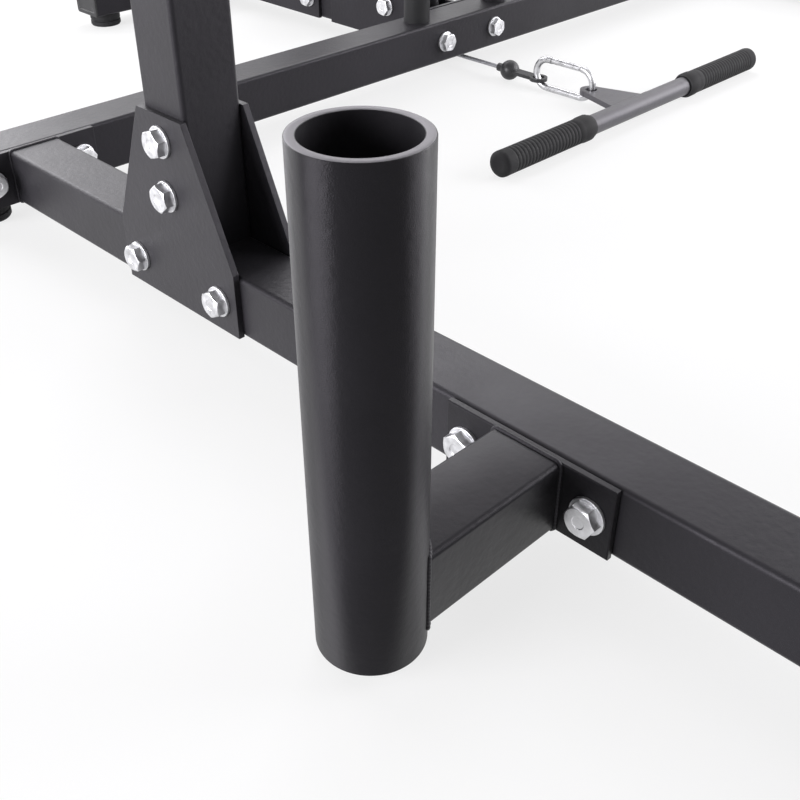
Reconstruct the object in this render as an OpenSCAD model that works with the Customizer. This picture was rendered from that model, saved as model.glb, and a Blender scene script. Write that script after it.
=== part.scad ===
// Power rack with a plate-loaded lat and low-row tower and bar holders
// Millimetres, +Z up, front towards -Y, origin on the floor under the middle

/* [Rack] */
// Width across the outer faces of the two side rails
rack_width = 1272; // [1160:2:1360]
// Centre distance between the front and the rear uprights
upright_spacing = 800; // [650:10:950]
// Length of each side rail in front of the front upright
rail_front = 196; // [160:2:260]
// Length of each side rail behind the rear upright
rail_rear = 272; // [240:2:340]
// Height of the upper ends of the uprights above the floor
upright_top = 2150; // [2000:10:2300]
// Height of the rubber feet, from the floor to the rails
foot_height = 18; // [16:1:25]
// Diameter of each rubber foot
foot_diameter = 42; // [34:1:48]
// How far the rear cross rail stands out past each side rail
cross_overhang = 45; // [40:1:90]

/* [Square tube] */
// Side of the square tube that the frame is made of
tube = 50; // [48:1:54]
// Wall of the square tube
tube_wall = 3; // [2:0.5:4]
// Corner radius of the square tube
tube_corner = 3.5; // [3.5:0.5:5]
// Thickness of the bolted and welded plates
plate_t = 5; // [4:0.5:6]

/* [Bolted joints] */
// Length of an end plate
plate_length = 125; // [118:1:130]
// Distance between the two bolts of an end plate
plate_bolts_apart = 93; // [86:1:98]
// Thread diameter of the frame bolts
bolt_d = 12; // [10:1:12]
// Width across flats of the bolt heads and nuts
bolt_flats = 19; // [17:1:19]
// Height of the bolt heads
bolt_head_h = 7.5; // [6:0.5:8]
// Height of the nuts
nut_h = 10; // [8:0.5:11]
// Diameter of the washers
washer_d = 24; // [22:1:26]
// Thickness of the washers
washer_t = 2.5; // [2:0.5:3]
// Radial clearance of a bolt in its hole
bolt_play = 0.5; // [0.3:0.1:0.8]

/* [Gusset plates] */
// Half length of the lower edge of a gusset plate
gusset_foot_half = 72; // [68:1:80]
// Half width of the upper edge of a gusset plate
gusset_top_half = 27; // [25:1:32]
// Height of a gusset plate above the rail's underside
gusset_height = 155; // [148:1:175]
// Distance of the lower bolts from the upright's centre line
gusset_low_bolt = 52; // [48:1:56]
// Height of the lower upright bolt above the rail's underside
gusset_mid_bolt = 93; // [90:1:98]
// Height of the upper upright bolt above the rail's underside
gusset_high_bolt = 135; // [132:1:140]

/* [Hole pattern] */
// Diameter of the holes in the uprights
hole_d = 19; // [18.5:0.5:21]
// Distance between the holes in the uprights
hole_pitch = 50; // [50:5:75]
// Height of the lowest hole above the floor
hole_start = 450; // [400:10:550]
// Height of the highest hole above the floor
hole_end = 1850; // [1700:10:1900]

/* [Bar holders] */
// Distance of the bar holder in front of the rear upright
holder_ahead = 346; // [300:2:400]
// Distance of the holder tube's axis from the rail's outer face
holder_reach = 130; // [110:1:160]
// Outer diameter of the holder tube
holder_d = 60.3; // [60:0.1:64]
// Wall of the holder tube
holder_wall = 5; // [3:0.5:5]
// Length of the holder tube
holder_length = 280; // [240:5:320]
// Height of the holder tube's lower end above the floor
holder_floor_gap = 8; // [5:1:12]

/* [Top frame] */
// Diameter of the pull-up bar
pull_up_d = 33.7; // [28:0.1:38]
// Height of the side beams' bolts above those of the cross beams
bolt_stagger = 24; // [22:1:28]

/* [Tower] */
// Distance from the rear cross rail's rear face to the tower foot's rear face
tower_depth = 480; // [440:5:560]
// Distance of the tower post behind the rear cross rail's rear face
post_setback = 280; // [270:2:300]
// Length of the tower foot
tower_foot_length = 500; // [400:10:700]
// Diameter of the guide rods
rod_d = 25; // [22:1:28]
// Distance of each guide rod from the middle
rod_offset = 72; // [70:1:90]
// Diameter of the rubber bumpers at the foot of the guide rods
bumper_d = 32; // [30:1:42]
// Height of the rubber bumpers
bumper_h = 60; // [50:1:70]

/* [Pulleys and cable] */
// Radius of the cable's centre line on a pulley
groove_r = 48; // [44:1:50]
// Radius of a pulley's rim
rim_r = 56; // [54:1:58]
// Width of a pulley
pulley_w = 22; // [18:1:24]
// Diameter of the steel cable with its jacket
cable_d = 5; // [4:0.5:6]
// Gap between the cable and the bottom of a pulley's groove
groove_gap = 0.3; // [0.2:0.1:0.5]
// Free height of the cable above the rear top beam
cable_clearance = 10; // [8:1:14]
// Distance between the axles of the front and the rear top pulley
pulley_reach = 347; // [320:1:380]
// Radial clearance of a pulley on its axle
axle_play = 0.1; // [0.05:0.05:0.2]

/* [Weight carriage] */
// Height of the plate horns above the floor with the carriage down
horn_z = 305; // [300:1:330]
// Diameter of the plate horns
horn_d = 49; // [47:0.5:50]
// Length of the plate horns outside their stop discs
horn_length = 220; // [180:5:260]
// Diameter of the stop discs
stop_d = 110; // [90:2:130]
// Thickness of the stop discs
stop_t = 8; // [6:1:10]
// Outer diameter of the sleeves round the guide rods
sleeve_d = 45; // [42:1:48]
// Wall of the sleeves round the guide rods
sleeve_wall = 5; // [4:0.5:5.5]
// Radial clearance of a bush on its guide rod
bush_play = 0.1; // [0.05:0.05:0.2]
// Travel of the weight carriage
carriage_travel = 600; // [400:20:800]

/* [Row bar] */
// Length of the row bar with its grips
row_length = 490; // [420:10:520]
// Length of a row bar grip
row_grip_length = 152; // [120:2:160]
// Diameter of a row bar grip
row_grip_d = 29; // [27:1:36]
// Diameter of the row bar between its grips
row_bar_d = 22; // [20:1:26]
// Distance from the row bar's axis to the hole in its eye plate
row_eye_reach = 66; // [54:1:74]
// Distance of the row bar in front of the rear cross rail's front face
row_ahead = 260; // [250:2:320]

/* [Lat bar] */
// Width of the lat bar
lat_width = 1020; // [800:20:1100]
// Width of the lat bar's straight middle
lat_middle = 560; // [440:20:640]
// Slope of the lat bar's ends in degrees
lat_slope = 22; // [10:1:35]
// Diameter of the lat bar
lat_bar_d = 28; // [25:1:32]
// Wall of the lat bar's tube
lat_bar_wall = 3; // [2.5:0.5:5]
// Diameter of the lat bar's grips
lat_grip_d = 36; // [34:1:42]
// Length of the lat bar's grips
lat_grip_length = 165; // [120:5:180]

/* [Snap hooks] */
// Rod diameter of the snap hooks
snap_rod_d = 8; // [7:0.5:9]
// Length of the snap hooks over all
snap_length = 92; // [84:1:100]
// Width of the snap hooks over all
snap_width = 42; // [38:1:46]
// Diameter of the cable stopper
stopper_d = 24; // [20:1:26]

/* [Bar hooks and safeties] */
// Index of the hole that carries the bar hooks
hook_hole = 18; // [14:1:24]
// Index of the hole that carries the safety pins
safety_hole = 6; // [2:1:10]
// Diameter of the pins and pegs in the holes
pin_d = 18; // [16:0.5:18]
// Room for the bar in a hook, from its back plate to its lip
hook_room = 58; // [45:1:70]
// Height of a hook's lip above its shelf
hook_lip = 42; // [30:1:55]
// Outer diameter of the safety pipes
safety_d = 42.4; // [38:0.1:48]
// Wall of the safety pipes
safety_wall = 3; // [2:0.5:4]

/* [Hidden] */
$fn = 64;
STEEL = "#2c2c30";
PLATE = "#303034";
ZINC = "#c9c9cd";
RUBBER = "#17171a";
NYLON = "#55555a";
CABLE = "#84868c";

side_x = rack_width / 2 - tube / 2;
rail_z = foot_height + tube / 2;
deck_z = foot_height + tube;
cap_t = 3;
bolt_out = washer_t + bolt_head_h;
bolt_hole_r = bolt_d / 2 + bolt_play;

total_depth = rail_front + upright_spacing + rail_rear + tube + tower_depth + cap_t + bolt_out;
rear_end = total_depth / 2 - bolt_out;
cross_y = rear_end - tower_depth - tube / 2;
rear_y = cross_y - tube / 2 - rail_rear;
front_y = rear_y - upright_spacing;
rail_front_y = front_y - rail_front;
holder_y = rear_y - holder_ahead;
holder_x = rack_width / 2 + holder_reach;
cross_half = rack_width / 2 + cross_overhang;
cross_front_y = cross_y - tube / 2;
cross_rear_y = cross_y + tube / 2;
post_y = cross_rear_y + post_setback;

beam_inset = 1.5;
side_beam_z = upright_top - plate_length / 2 - beam_inset;
cross_beam_z = side_beam_z - bolt_stagger;
pulley_z = cross_beam_z + tube / 2 + cable_clearance - groove_r;
rim_gap = 10;
beam_bottom = pulley_z + rim_r + rim_gap;
beam_z = beam_bottom + tube / 2;
beam_top = beam_bottom + tube;

carriage_y = cross_y;
fall_front_y = carriage_y - groove_r;
fall_rear_y = carriage_y + groove_r;
rear_pulley_y = fall_front_y - groove_r;
return_y = fall_rear_y + groove_r;
front_pulley_y = rear_pulley_y - pulley_reach;
lat_y = front_pulley_y - groove_r;
down_y = return_y + groove_r;
cable_low_z = stopper_d / 2;
low_z = cable_low_z + groove_r;
cable_r = cable_d / 2;
cable_top_z = pulley_z + groove_r;

bracket_x = tube / 2;
bracket_half = 30;
axle_grip = tube + 2 * plate_t;
bracket_drop = 5;
wheel_room = 5;
arm_start_y = return_y + rim_r + wheel_room;
low_plate_lap = 50;
low_plate_end = arm_start_y + low_plate_lap;
low_plate_rise = 26;
low_plate_top_half = 24;
low_plate_foot_half = 48;
lid_t = 3;

rod_plate_t = 8;
rod_plate_half_y = 30;
rod_plate_half_x = rod_offset + rod_plate_half_y;
rod_top = beam_bottom - rod_plate_t;
rod_socket_h = 30;
rod_socket_t = 5;
sleeve_bottom = deck_z + bumper_h;
bush_flange = 3;
bush_flange_room = 0.5;
bush_length = 30;
sleeve_above = 55;
sleeve_top = horn_z + sleeve_above;
bridge_top = horn_z + tube / 2;
fork_play = 2;
fork_x = pulley_w / 2 + fork_play;
fork_t = 5;
fork_floor = 14;
carriage_pulley_z = bridge_top + rim_r + fork_floor;
fork_above = 28;
fork_top = carriage_pulley_z + fork_above;
fork_half = 24;
stop_x = rod_offset + sleeve_d / 2 - 1;
horn_wall = 4;
horn_end = stop_x + stop_t + horn_length;

hook_z = hole_start + hook_hole * hole_pitch;
safety_z = hole_start + safety_hole * hole_pitch;
hook_plate_t = 6;
hook_w = tube + 2 * plate_t + 1;
hook_up = 45;
hook_down = 85;
hook_shelf_down = 50;
hook_shelf_t = 8;
hook_wrap = 30;
hook_peg = 38;
hook_rib_short = 10;
seat_gap = 0.5;
front_face_y = front_y - tube / 2;
safety_gap = 0.8;
bumper_gap = 0.5;

row_z = row_grip_d / 2;
row_y = cross_front_y - row_ahead;
row_eye_y = row_y + row_eye_reach;
eye_r = 13;
eye_hole_r = 7;
eye_t = 6;
tab_t = 4;
tab_reach = 46;
tab_half = 7;
eye_base_half = 34;
grip_end_t = 4;
tab_r = 11;
snap_rod_r = snap_rod_d / 2;
snap_r = snap_width / 2 - snap_rod_r;
snap_straight = (snap_length - snap_width) / 2;
hang_gap = 0.3;

// Distance from the centre of a snap hook's end arc to the hole that it pulls on
// The off value says how far the plate round the hole reaches from the arc's middle
function eye_seat(off) = sqrt(pow(snap_r - snap_rod_r, 2) - off * off) + eye_hole_r - hang_gap;

row_snap_z = snap_width / 2;
row_ball_z = stopper_d / 2;
row_snap_y = row_eye_y + eye_seat(row_snap_z - row_z + eye_t / 2) + snap_straight;
row_tab_y = row_snap_y + snap_straight + eye_seat(row_snap_z - row_ball_z + tab_t / 2);
row_ball_y = row_tab_y + tab_reach;
neck_out = 6;
stopper_neck = stopper_d / 2 + neck_out;

stopper_drop = 10;
stopper_z = pulley_z - rim_r - stopper_drop;
lat_tab_z = stopper_z - tab_reach;
lat_snap_z = lat_tab_z - eye_seat(tab_t / 2) - snap_straight;
lat_eye_z = lat_snap_z - snap_straight - eye_seat(eye_t / 2);
lat_eye_reach = 45;
lat_z = lat_eye_z - lat_eye_reach;
lat_bend_r = 60;

// Basic shapes

// Square with round corners, centred
module rounded_square(side, r) {
    square([side - 2 * r, side], center = true);
    square([side, side - 2 * r], center = true);
    for (x = [-1, 1], y = [-1, 1])
        translate([x * (side / 2 - r), y * (side / 2 - r)]) circle(r = r);
}

// Square tube along +Z
module square_tube(length) {
    linear_extrude(height = length)
        difference() {
            rounded_square(tube, tube_corner);
            rounded_square(tube - 2 * tube_wall, max(tube_corner - tube_wall, 0.5));
        }
}

// Square tube along +Y from y0 to y1, with its centre at x and z
module tube_y(x, y0, y1, z) {
    translate([x, y0, z]) rotate([-90, 0, 0]) square_tube(y1 - y0);
}

// Square tube along +X from x0 to x1, with its centre at y and z
module tube_x(x0, x1, y, z) {
    translate([x0, y, z]) rotate([0, 90, 0]) square_tube(x1 - x0);
}

// Square tube along +Z from z0 to z1
module tube_z(x, y, z0, z1) {
    translate([x, y, z0]) square_tube(z1 - z0);
}

// Block from its low corner to its high corner
module block(low, high) {
    translate(low) cube(high - low);
}

module rod_x(x0, x1, y, z, r) {
    translate([x0, y, z]) rotate([0, 90, 0]) cylinder(h = x1 - x0, r = r);
}

module rod_y(x, y0, y1, z, r) {
    translate([x, y0, z]) rotate([-90, 0, 0]) cylinder(h = y1 - y0, r = r);
}

module rod_z(x, y, z0, z1, r) {
    translate([x, y, z0]) cylinder(h = z1 - z0, r = r);
}

// Shape in the YZ plane, given as points of y and z, from x0 to x1
module slab_x(x0, x1) {
    translate([x0, 0, 0]) rotate([90, 0, 90]) linear_extrude(height = x1 - x0) children();
}

module mirror_copy(axis) {
    children();
    mirror(axis) children();
}

// Fasteners

hex_r = bolt_flats / 2 / cos(30);
hex_bevel = 0.5;
bolt_tail = 3;

// Hexagon with its corners turned off at the free end
module hex_block(z0, z1) {
    intersection() {
        translate([0, 0, z0]) cylinder(h = z1 - z0, r = hex_r, $fn = 6);
        translate([0, 0, z0 - 1])
            cylinder(h = z1 - z0 + 1, r1 = hex_r + z1 - z0 + hex_bevel, r2 = bolt_flats / 2 - hex_bevel);
    }
}

// Bolt whose head stands on z = 0, with its washer under the head
module bolt(grip) {
    cylinder(h = washer_t, d = washer_d);
    hex_block(washer_t, bolt_out);
    translate([0, 0, -grip - washer_t - nut_h - bolt_tail])
        cylinder(h = grip + washer_t + nut_h + bolt_tail + 1, d = bolt_d);
}

// Washer and nut at the far side of the grip
module nut(grip) {
    difference() {
        union() {
            translate([0, 0, -grip - washer_t]) cylinder(h = washer_t, d = washer_d);
            rotate([180, 0, 0]) hex_block(grip + washer_t, grip + washer_t + nut_h);
        }
        translate([0, 0, -grip - washer_t - nut_h - 1])
            cylinder(h = washer_t + nut_h + 2, r = bolt_d / 2 + axle_play);
    }
}

// Each row is a place, a turn that points +Z to the head's side, and a grip
plate_grip = tube + plate_t;
half_apart = plate_bolts_apart / 2;
OUT_LEFT = [0, -90, 0];
OUT_RIGHT = [0, 90, 0];
UP_LEFT = [90, 0, -90];
UP_RIGHT = [90, 0, 90];
UP_FRONT = [90, 0, 0];
UP_REAR = [-90, 0, 0];
FLAT_FRONT = [90, 90, 0];
FLAT_REAR = [-90, 90, 0];
plate_joints = [
    [[-rack_width / 2 - plate_t, holder_y, rail_z], OUT_LEFT],
    [[rack_width / 2 + plate_t, holder_y, rail_z], OUT_RIGHT],
    [[-side_x, cross_front_y - plate_t, rail_z], FLAT_FRONT],
    [[side_x, cross_front_y - plate_t, rail_z], FLAT_FRONT],
    [[0, cross_front_y, rail_z], FLAT_FRONT],
    [[0, rear_end, rail_z], FLAT_REAR],
    [[-side_x, front_face_y, side_beam_z], UP_FRONT],
    [[side_x, front_face_y, side_beam_z], UP_FRONT],
    [[-side_x, rear_y + tube / 2, side_beam_z], UP_REAR],
    [[side_x, rear_y + tube / 2, side_beam_z], UP_REAR],
    [[-rack_width / 2, rear_y, cross_beam_z], UP_LEFT],
    [[rack_width / 2, rear_y, cross_beam_z], UP_RIGHT],
    [[-rack_width / 2, front_y, cross_beam_z], UP_LEFT],
    [[rack_width / 2, front_y, cross_beam_z], UP_RIGHT]
];

module at_plate_bolts() {
    for (joint = plate_joints, side = [-1, 1])
        translate(joint[0]) rotate(joint[1]) translate([0, side * half_apart, 0]) children();
}

// Bolt places of one gusset plate, from the upright's centre and the rail's underside
gusset_bolts_at = [
    [-gusset_low_bolt, tube / 2],
    [gusset_low_bolt, tube / 2],
    [0, gusset_mid_bolt],
    [0, gusset_high_bolt]
];
gusset_grip = tube + 2 * plate_t;

// Each row is the x of the tube, the y of the upright and the side of the heads
gusset_posts = [
    [-side_x, front_y, -1], [-side_x, rear_y, -1],
    [side_x, front_y, 1], [side_x, rear_y, 1],
    [0, post_y, -1]
];

module at_gusset_bolts() {
    for (post = gusset_posts, at = gusset_bolts_at)
        translate([post[0] + post[2] * gusset_grip / 2, post[1] + at[0], foot_height + at[1]])
            rotate([0, post[2] * 90, 0]) children();
    for (at = gusset_bolts_at)
        translate([-gusset_grip / 2, post_y + at[0], beam_top - at[1]])
            rotate(OUT_LEFT) children();
}

// Holes through a rail or beam for the lower bolts of a gusset pair
module gusset_rail_holes(x, y, z) {
    for (side = [-1, 1])
        rod_x(x - tube, x + tube, y + side * gusset_low_bolt, z, bolt_hole_r);
}

// Frame

// End plate flat against a face, its long side along +Y before it is turned
module end_plate() {
    difference() {
        translate([-tube / 2, -plate_length / 2, 0]) cube([tube, plate_length, plate_t]);
        for (side = [-1, 1])
            translate([0, side * half_apart, -1]) cylinder(h = plate_t + 2, r = bolt_hole_r);
    }
}

module side_rail(x) {
    difference() {
        tube_y(x, rail_front_y, cross_front_y - plate_t, rail_z);
        gusset_rail_holes(x, front_y, rail_z);
        gusset_rail_holes(x, rear_y, rail_z);
        for (side = [-1, 1])
            rod_x(x - tube, x + tube, holder_y + side * half_apart, rail_z, bolt_hole_r);
    }
    translate([x, cross_front_y, rail_z]) rotate([90, 90, 0]) end_plate();
}

module left_side_rail() {
    color(STEEL) side_rail(-side_x);
}

module right_side_rail() {
    color(STEEL) side_rail(side_x);
}

module rear_cross_rail() {
    color(STEEL)
        difference() {
            tube_x(-cross_half, cross_half, cross_y, rail_z);
            for (x = [-side_x, 0, side_x], side = [-1, 1])
                rod_y(x + side * half_apart, cross_y - tube, cross_y + tube, rail_z, bolt_hole_r);
        }
}

module upright(x, y) {
    difference() {
        tube_z(x, y, deck_z, upright_top);
        for (z = [gusset_mid_bolt, gusset_high_bolt])
            rod_x(x - tube, x + tube, y, foot_height + z, bolt_hole_r);
        for (side = [-1, 1]) {
            rod_y(x, y - tube, y + tube, side_beam_z + side * half_apart, bolt_hole_r);
            rod_x(x - tube, x + tube, y, cross_beam_z + side * half_apart, bolt_hole_r);
        }
        for (z = [hole_start : hole_pitch : hole_end])
            rod_y(x, y - tube, y + tube, z, hole_d / 2);
    }
}

module left_front_upright() {
    color(STEEL) upright(-side_x, front_y);
}

module right_front_upright() {
    color(STEEL) upright(side_x, front_y);
}

module left_rear_upright() {
    color(STEEL) upright(-side_x, rear_y);
}

module right_rear_upright() {
    color(STEEL) upright(side_x, rear_y);
}

module side_top_beam(x) {
    beam_start = front_y + tube / 2;
    beam_end = rear_y - tube / 2;
    tube_y(x, beam_start + plate_t, beam_end - plate_t, side_beam_z);
    translate([x, beam_start + plate_t, side_beam_z]) rotate([90, 0, 0]) end_plate();
    translate([x, beam_end, side_beam_z]) rotate([90, 0, 0]) end_plate();
}

module left_top_beam() {
    color(STEEL) side_top_beam(-side_x);
}

module right_top_beam() {
    color(STEEL) side_top_beam(side_x);
}

// Distance from the middle to the inner faces of the uprights
inner_x = side_x - tube / 2;

module cross_end_plates(y) {
    mirror_copy([1, 0, 0])
        translate([inner_x - plate_t, y, cross_beam_z]) rotate([90, 0, 90]) end_plate();
}

// Rear top beam with the saddle that carries the tower beam
module rear_top_beam() {
    color(STEEL) {
        tube_x(-inner_x + plate_t, inner_x - plate_t, rear_y, cross_beam_z);
        cross_end_plates(rear_y);
        mirror_copy([1, 0, 0])
            difference() {
                block([bracket_x, rear_y - tube / 2, cross_beam_z + tube / 2],
                      [bracket_x + plate_t, rear_y + tube / 2, beam_top - bracket_drop]);
                rod_x(0, tube, rear_y, beam_z, bolt_hole_r);
            }
    }
}

module pull_up_bar() {
    color(STEEL) {
        rod_x(-inner_x + plate_t, inner_x - plate_t, front_y, cross_beam_z, pull_up_d / 2);
        cross_end_plates(front_y);
    }
}

// Outline of a gusset plate, from the upright's centre and the rail's underside
knee_above = 3;

module gusset_outline() {
    knee = tube + knee_above;
    difference() {
        polygon([
            [-gusset_foot_half, 0], [gusset_foot_half, 0], [gusset_foot_half, knee],
            [gusset_top_half, gusset_height], [-gusset_top_half, gusset_height],
            [-gusset_foot_half, knee]
        ]);
        for (at = gusset_bolts_at)
            translate(at) circle(r = bolt_hole_r);
    }
}

module gusset_pair(x, y) {
    for (x0 = [x - tube / 2 - plate_t, x + tube / 2])
        translate([0, y, foot_height]) slab_x(x0, x0 + plate_t) gusset_outline();
}

module left_gusset_plates() {
    color(PLATE) {
        gusset_pair(-side_x, front_y);
        gusset_pair(-side_x, rear_y);
    }
}

module right_gusset_plates() {
    color(PLATE) {
        gusset_pair(side_x, front_y);
        gusset_pair(side_x, rear_y);
    }
}

module tower_gusset_plates() {
    color(PLATE) {
        gusset_pair(0, post_y);
        for (x0 = [-tube / 2 - plate_t, tube / 2])
            translate([0, post_y, beam_top]) mirror([0, 0, 1]) slab_x(x0, x0 + plate_t) gusset_outline();
    }
}

// Bar holders

holder_top = holder_floor_gap + holder_length;
holder_r = holder_d / 2;
holder_bore_r = holder_r - holder_wall;

// Left bar holder: an open tube on an arm with an end plate
module bar_holder() {
    rim = 0.8;
    difference() {
        union() {
            translate([-holder_x, holder_y, 0])
                rotate_extrude()
                    polygon([
                        [0, holder_floor_gap], [holder_r - rim, holder_floor_gap],
                        [holder_r, holder_floor_gap + rim], [holder_r, holder_top - rim],
                        [holder_r - rim, holder_top], [0, holder_top]
                    ]);
            difference() {
                tube_x(-holder_x, -rack_width / 2 - plate_t, holder_y, rail_z);
                rod_z(-holder_x, holder_y, 0, holder_top, holder_r - 1);
            }
            translate([-rack_width / 2 - plate_t, holder_y, rail_z]) rotate([0, 90, 0]) end_plate();
        }
        rod_z(-holder_x, holder_y, -1, holder_top + 1, holder_bore_r);
    }
}

module left_bar_holder() {
    color(STEEL) bar_holder();
}

module right_bar_holder() {
    color(STEEL) mirror([1, 0, 0]) bar_holder();
}

// Tower frame

// Side plate of the low pulley, in y and z
module low_plate_outline() {
    hump = low_z + low_plate_rise;
    top = low_plate_top_half;
    foot = low_plate_foot_half;
    difference() {
        polygon([
            [cross_rear_y + plate_t, foot_height], [low_plate_end, foot_height],
            [low_plate_end, deck_z], [return_y + foot, deck_z], [return_y + top, hump],
            [return_y - top, hump], [return_y - foot, deck_z], [cross_rear_y + plate_t, deck_z]
        ]);
        translate([return_y, low_z]) circle(r = bolt_hole_r);
    }
}

module tower_base() {
    base_end = rear_end - tube;
    color(STEEL) {
        difference() {
            tube_y(0, arm_start_y, base_end - plate_t, rail_z);
            gusset_rail_holes(0, post_y, rail_z);
        }
        block([-tube / 2 + 1, arm_start_y - lid_t, foot_height + 1],
              [tube / 2 - 1, arm_start_y, deck_z - 1]);
        translate([0, base_end, rail_z]) rotate([90, 90, 0]) end_plate();
        translate([0, cross_rear_y + plate_t, rail_z]) rotate([90, 90, 0]) end_plate();
        mirror_copy([1, 0, 0]) slab_x(bracket_x, bracket_x + plate_t) low_plate_outline();
    }
}

module tower_foot() {
    color(STEEL)
        difference() {
            tube_x(-tower_foot_length / 2, tower_foot_length / 2, rear_end - tube / 2, rail_z);
            for (side = [-1, 1])
                rod_y(side * half_apart, rear_end - 2 * tube, rear_end + 1, rail_z, bolt_hole_r);
        }
}

module tower_post() {
    color(STEEL)
        difference() {
            tube_z(0, post_y, deck_z, beam_bottom);
            for (z = [gusset_mid_bolt, gusset_high_bolt]) {
                rod_x(-tube, tube, post_y, foot_height + z, bolt_hole_r);
                rod_x(-tube, tube, post_y, beam_top - z, bolt_hole_r);
            }
        }
}

// Pair of plates that hold a top pulley's axle
module top_bracket(y) {
    mirror_copy([1, 0, 0])
        difference() {
            block([bracket_x, y - bracket_half, pulley_z - bracket_half],
                  [bracket_x + plate_t, y + bracket_half, beam_top - bracket_drop]);
            rod_x(0, tube, y, pulley_z, bolt_hole_r);
        }
}

// Plate under the tower beam with a socket for each guide rod
module rod_plate() {
    block([-rod_plate_half_x, carriage_y - rod_plate_half_y, rod_top],
          [rod_plate_half_x, carriage_y + rod_plate_half_y, beam_bottom]);
    for (side = [-1, 1])
        difference() {
            rod_z(side * rod_offset, carriage_y, rod_top - rod_socket_h, rod_top,
                  rod_d / 2 + rod_socket_t);
            rod_z(side * rod_offset, carriage_y, rod_top - rod_socket_h - 1, rod_top, rod_d / 2 + 0.1);
        }
}

module tower_beam() {
    color(STEEL) {
        difference() {
            tube_y(0, front_pulley_y - rim_r, post_y + gusset_foot_half, beam_z);
            gusset_rail_holes(0, post_y, beam_z);
            rod_x(-tube, tube, rear_y, beam_z, bolt_hole_r);
        }
        for (y = [front_pulley_y, rear_pulley_y, return_y])
            top_bracket(y);
        rod_plate();
    }
}

module guide_rod(x) {
    rod_z(x, carriage_y, deck_z, rod_top, rod_d / 2);
}

module left_guide_rod() {
    color(ZINC) guide_rod(-rod_offset);
}

module right_guide_rod() {
    color(ZINC) guide_rod(rod_offset);
}

module rod_bumpers() {
    color(RUBBER)
        for (side = [-1, 1])
            translate([side * rod_offset, carriage_y, deck_z])
                difference() {
                    cylinder(h = bumper_h - bumper_gap, d = bumper_d);
                    translate([0, 0, -1]) cylinder(h = bumper_h + 2, r = rod_d / 2 + 0.2);
                }
}

module gusset_bolts() {
    color(ZINC) at_gusset_bolts() bolt(gusset_grip);
}

module gusset_nuts() {
    color(ZINC) at_gusset_bolts() nut(gusset_grip);
}

module plate_bolts() {
    color(ZINC) {
        at_plate_bolts() bolt(plate_grip);
        translate([-axle_grip / 2, rear_y, beam_z]) rotate(OUT_LEFT) bolt(axle_grip);
    }
}

module plate_nuts() {
    color(ZINC) {
        at_plate_bolts() nut(plate_grip);
        translate([-axle_grip / 2, rear_y, beam_z]) rotate(OUT_LEFT) nut(axle_grip);
    }
}

// Bolt, nut and two spacer sleeves of a pulley that is fixed to the frame
spacer_wall = 3;

module pulley_axle() {
    rotate(OUT_LEFT) {
        translate([0, 0, axle_grip / 2]) bolt(axle_grip);
        translate([0, 0, axle_grip / 2]) nut(axle_grip);
    }
    sleeve_start = pulley_w / 2 + seat_gap;
    mirror_copy([1, 0, 0])
        difference() {
            rod_x(sleeve_start, bracket_x, 0, 0, bolt_d / 2 + spacer_wall);
            rod_x(sleeve_start - 1, bracket_x + 1, 0, 0, bolt_d / 2 + axle_play);
        }
}

module pulley_axles() {
    color(ZINC) {
        for (y = [front_pulley_y, rear_pulley_y, return_y])
            translate([0, y, pulley_z]) pulley_axle();
        translate([0, return_y, low_z]) pulley_axle();
    }
}

// Cap whose flange closes the end of a square tube at z = 0
plug_depth = 10;

module end_cap() {
    plug = tube - 2 * tube_wall - 1;
    linear_extrude(height = cap_t) rounded_square(tube, tube_corner);
    translate([-plug / 2, -plug / 2, -plug_depth]) cube([plug, plug, plug_depth + cap_t / 2]);
}

module end_caps() {
    color(RUBBER) {
        for (side = [-1, 1]) {
            translate([side * side_x, rail_front_y, rail_z]) rotate([90, 0, 0]) end_cap();
            translate([side * cross_half, cross_y, rail_z]) rotate([0, side * 90, 0]) end_cap();
            translate([side * tower_foot_length / 2, rear_end - tube / 2, rail_z])
                rotate([0, side * 90, 0]) end_cap();
            for (y = [front_y, rear_y])
                translate([side * side_x, y, upright_top]) end_cap();
        }
        translate([0, front_pulley_y - rim_r, beam_z]) rotate([90, 0, 0]) end_cap();
        translate([0, post_y + gusset_foot_half, beam_z]) rotate([-90, 0, 0]) end_cap();
    }
}

module rubber_feet() {
    color(RUBBER)
        for (side = [-1, 1]) {
            translate([side * side_x, rail_front_y + tube, 0]) rubber_foot();
            translate([side * (cross_half - tube / 2), cross_y, 0]) rubber_foot();
            translate([side * (tower_foot_length / 2 - tube / 2), rear_end - tube / 2, 0]) rubber_foot();
        }
}

foot_bevel = 3;

module rubber_foot() {
    cylinder(h = foot_bevel, d1 = foot_diameter - 2 * foot_bevel, d2 = foot_diameter);
    translate([0, 0, foot_bevel]) cylinder(h = foot_height - foot_bevel, d = foot_diameter);
}

// Weight carriage

sleeve_bore_r = sleeve_d / 2 - sleeve_wall;

module carriage_frame() {
    color(PLATE) {
        difference() {
            union() {
                for (side = [-1, 1])
                    rod_z(side * rod_offset, carriage_y, sleeve_bottom + bush_flange,
                          sleeve_top - bush_flange, sleeve_d / 2);
                tube_x(-rod_offset, rod_offset, carriage_y, horn_z);
            }
            for (side = [-1, 1])
                rod_z(side * rod_offset, carriage_y, sleeve_bottom, sleeve_top, sleeve_bore_r);
        }
        mirror_copy([1, 0, 0]) {
            plate_horn();
            difference() {
                block([fork_x, carriage_y - fork_half, bridge_top],
                      [fork_x + fork_t, carriage_y + fork_half, fork_top]);
                rod_x(0, tube, carriage_y, carriage_pulley_z, bolt_hole_r);
            }
        }
    }
}

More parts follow.
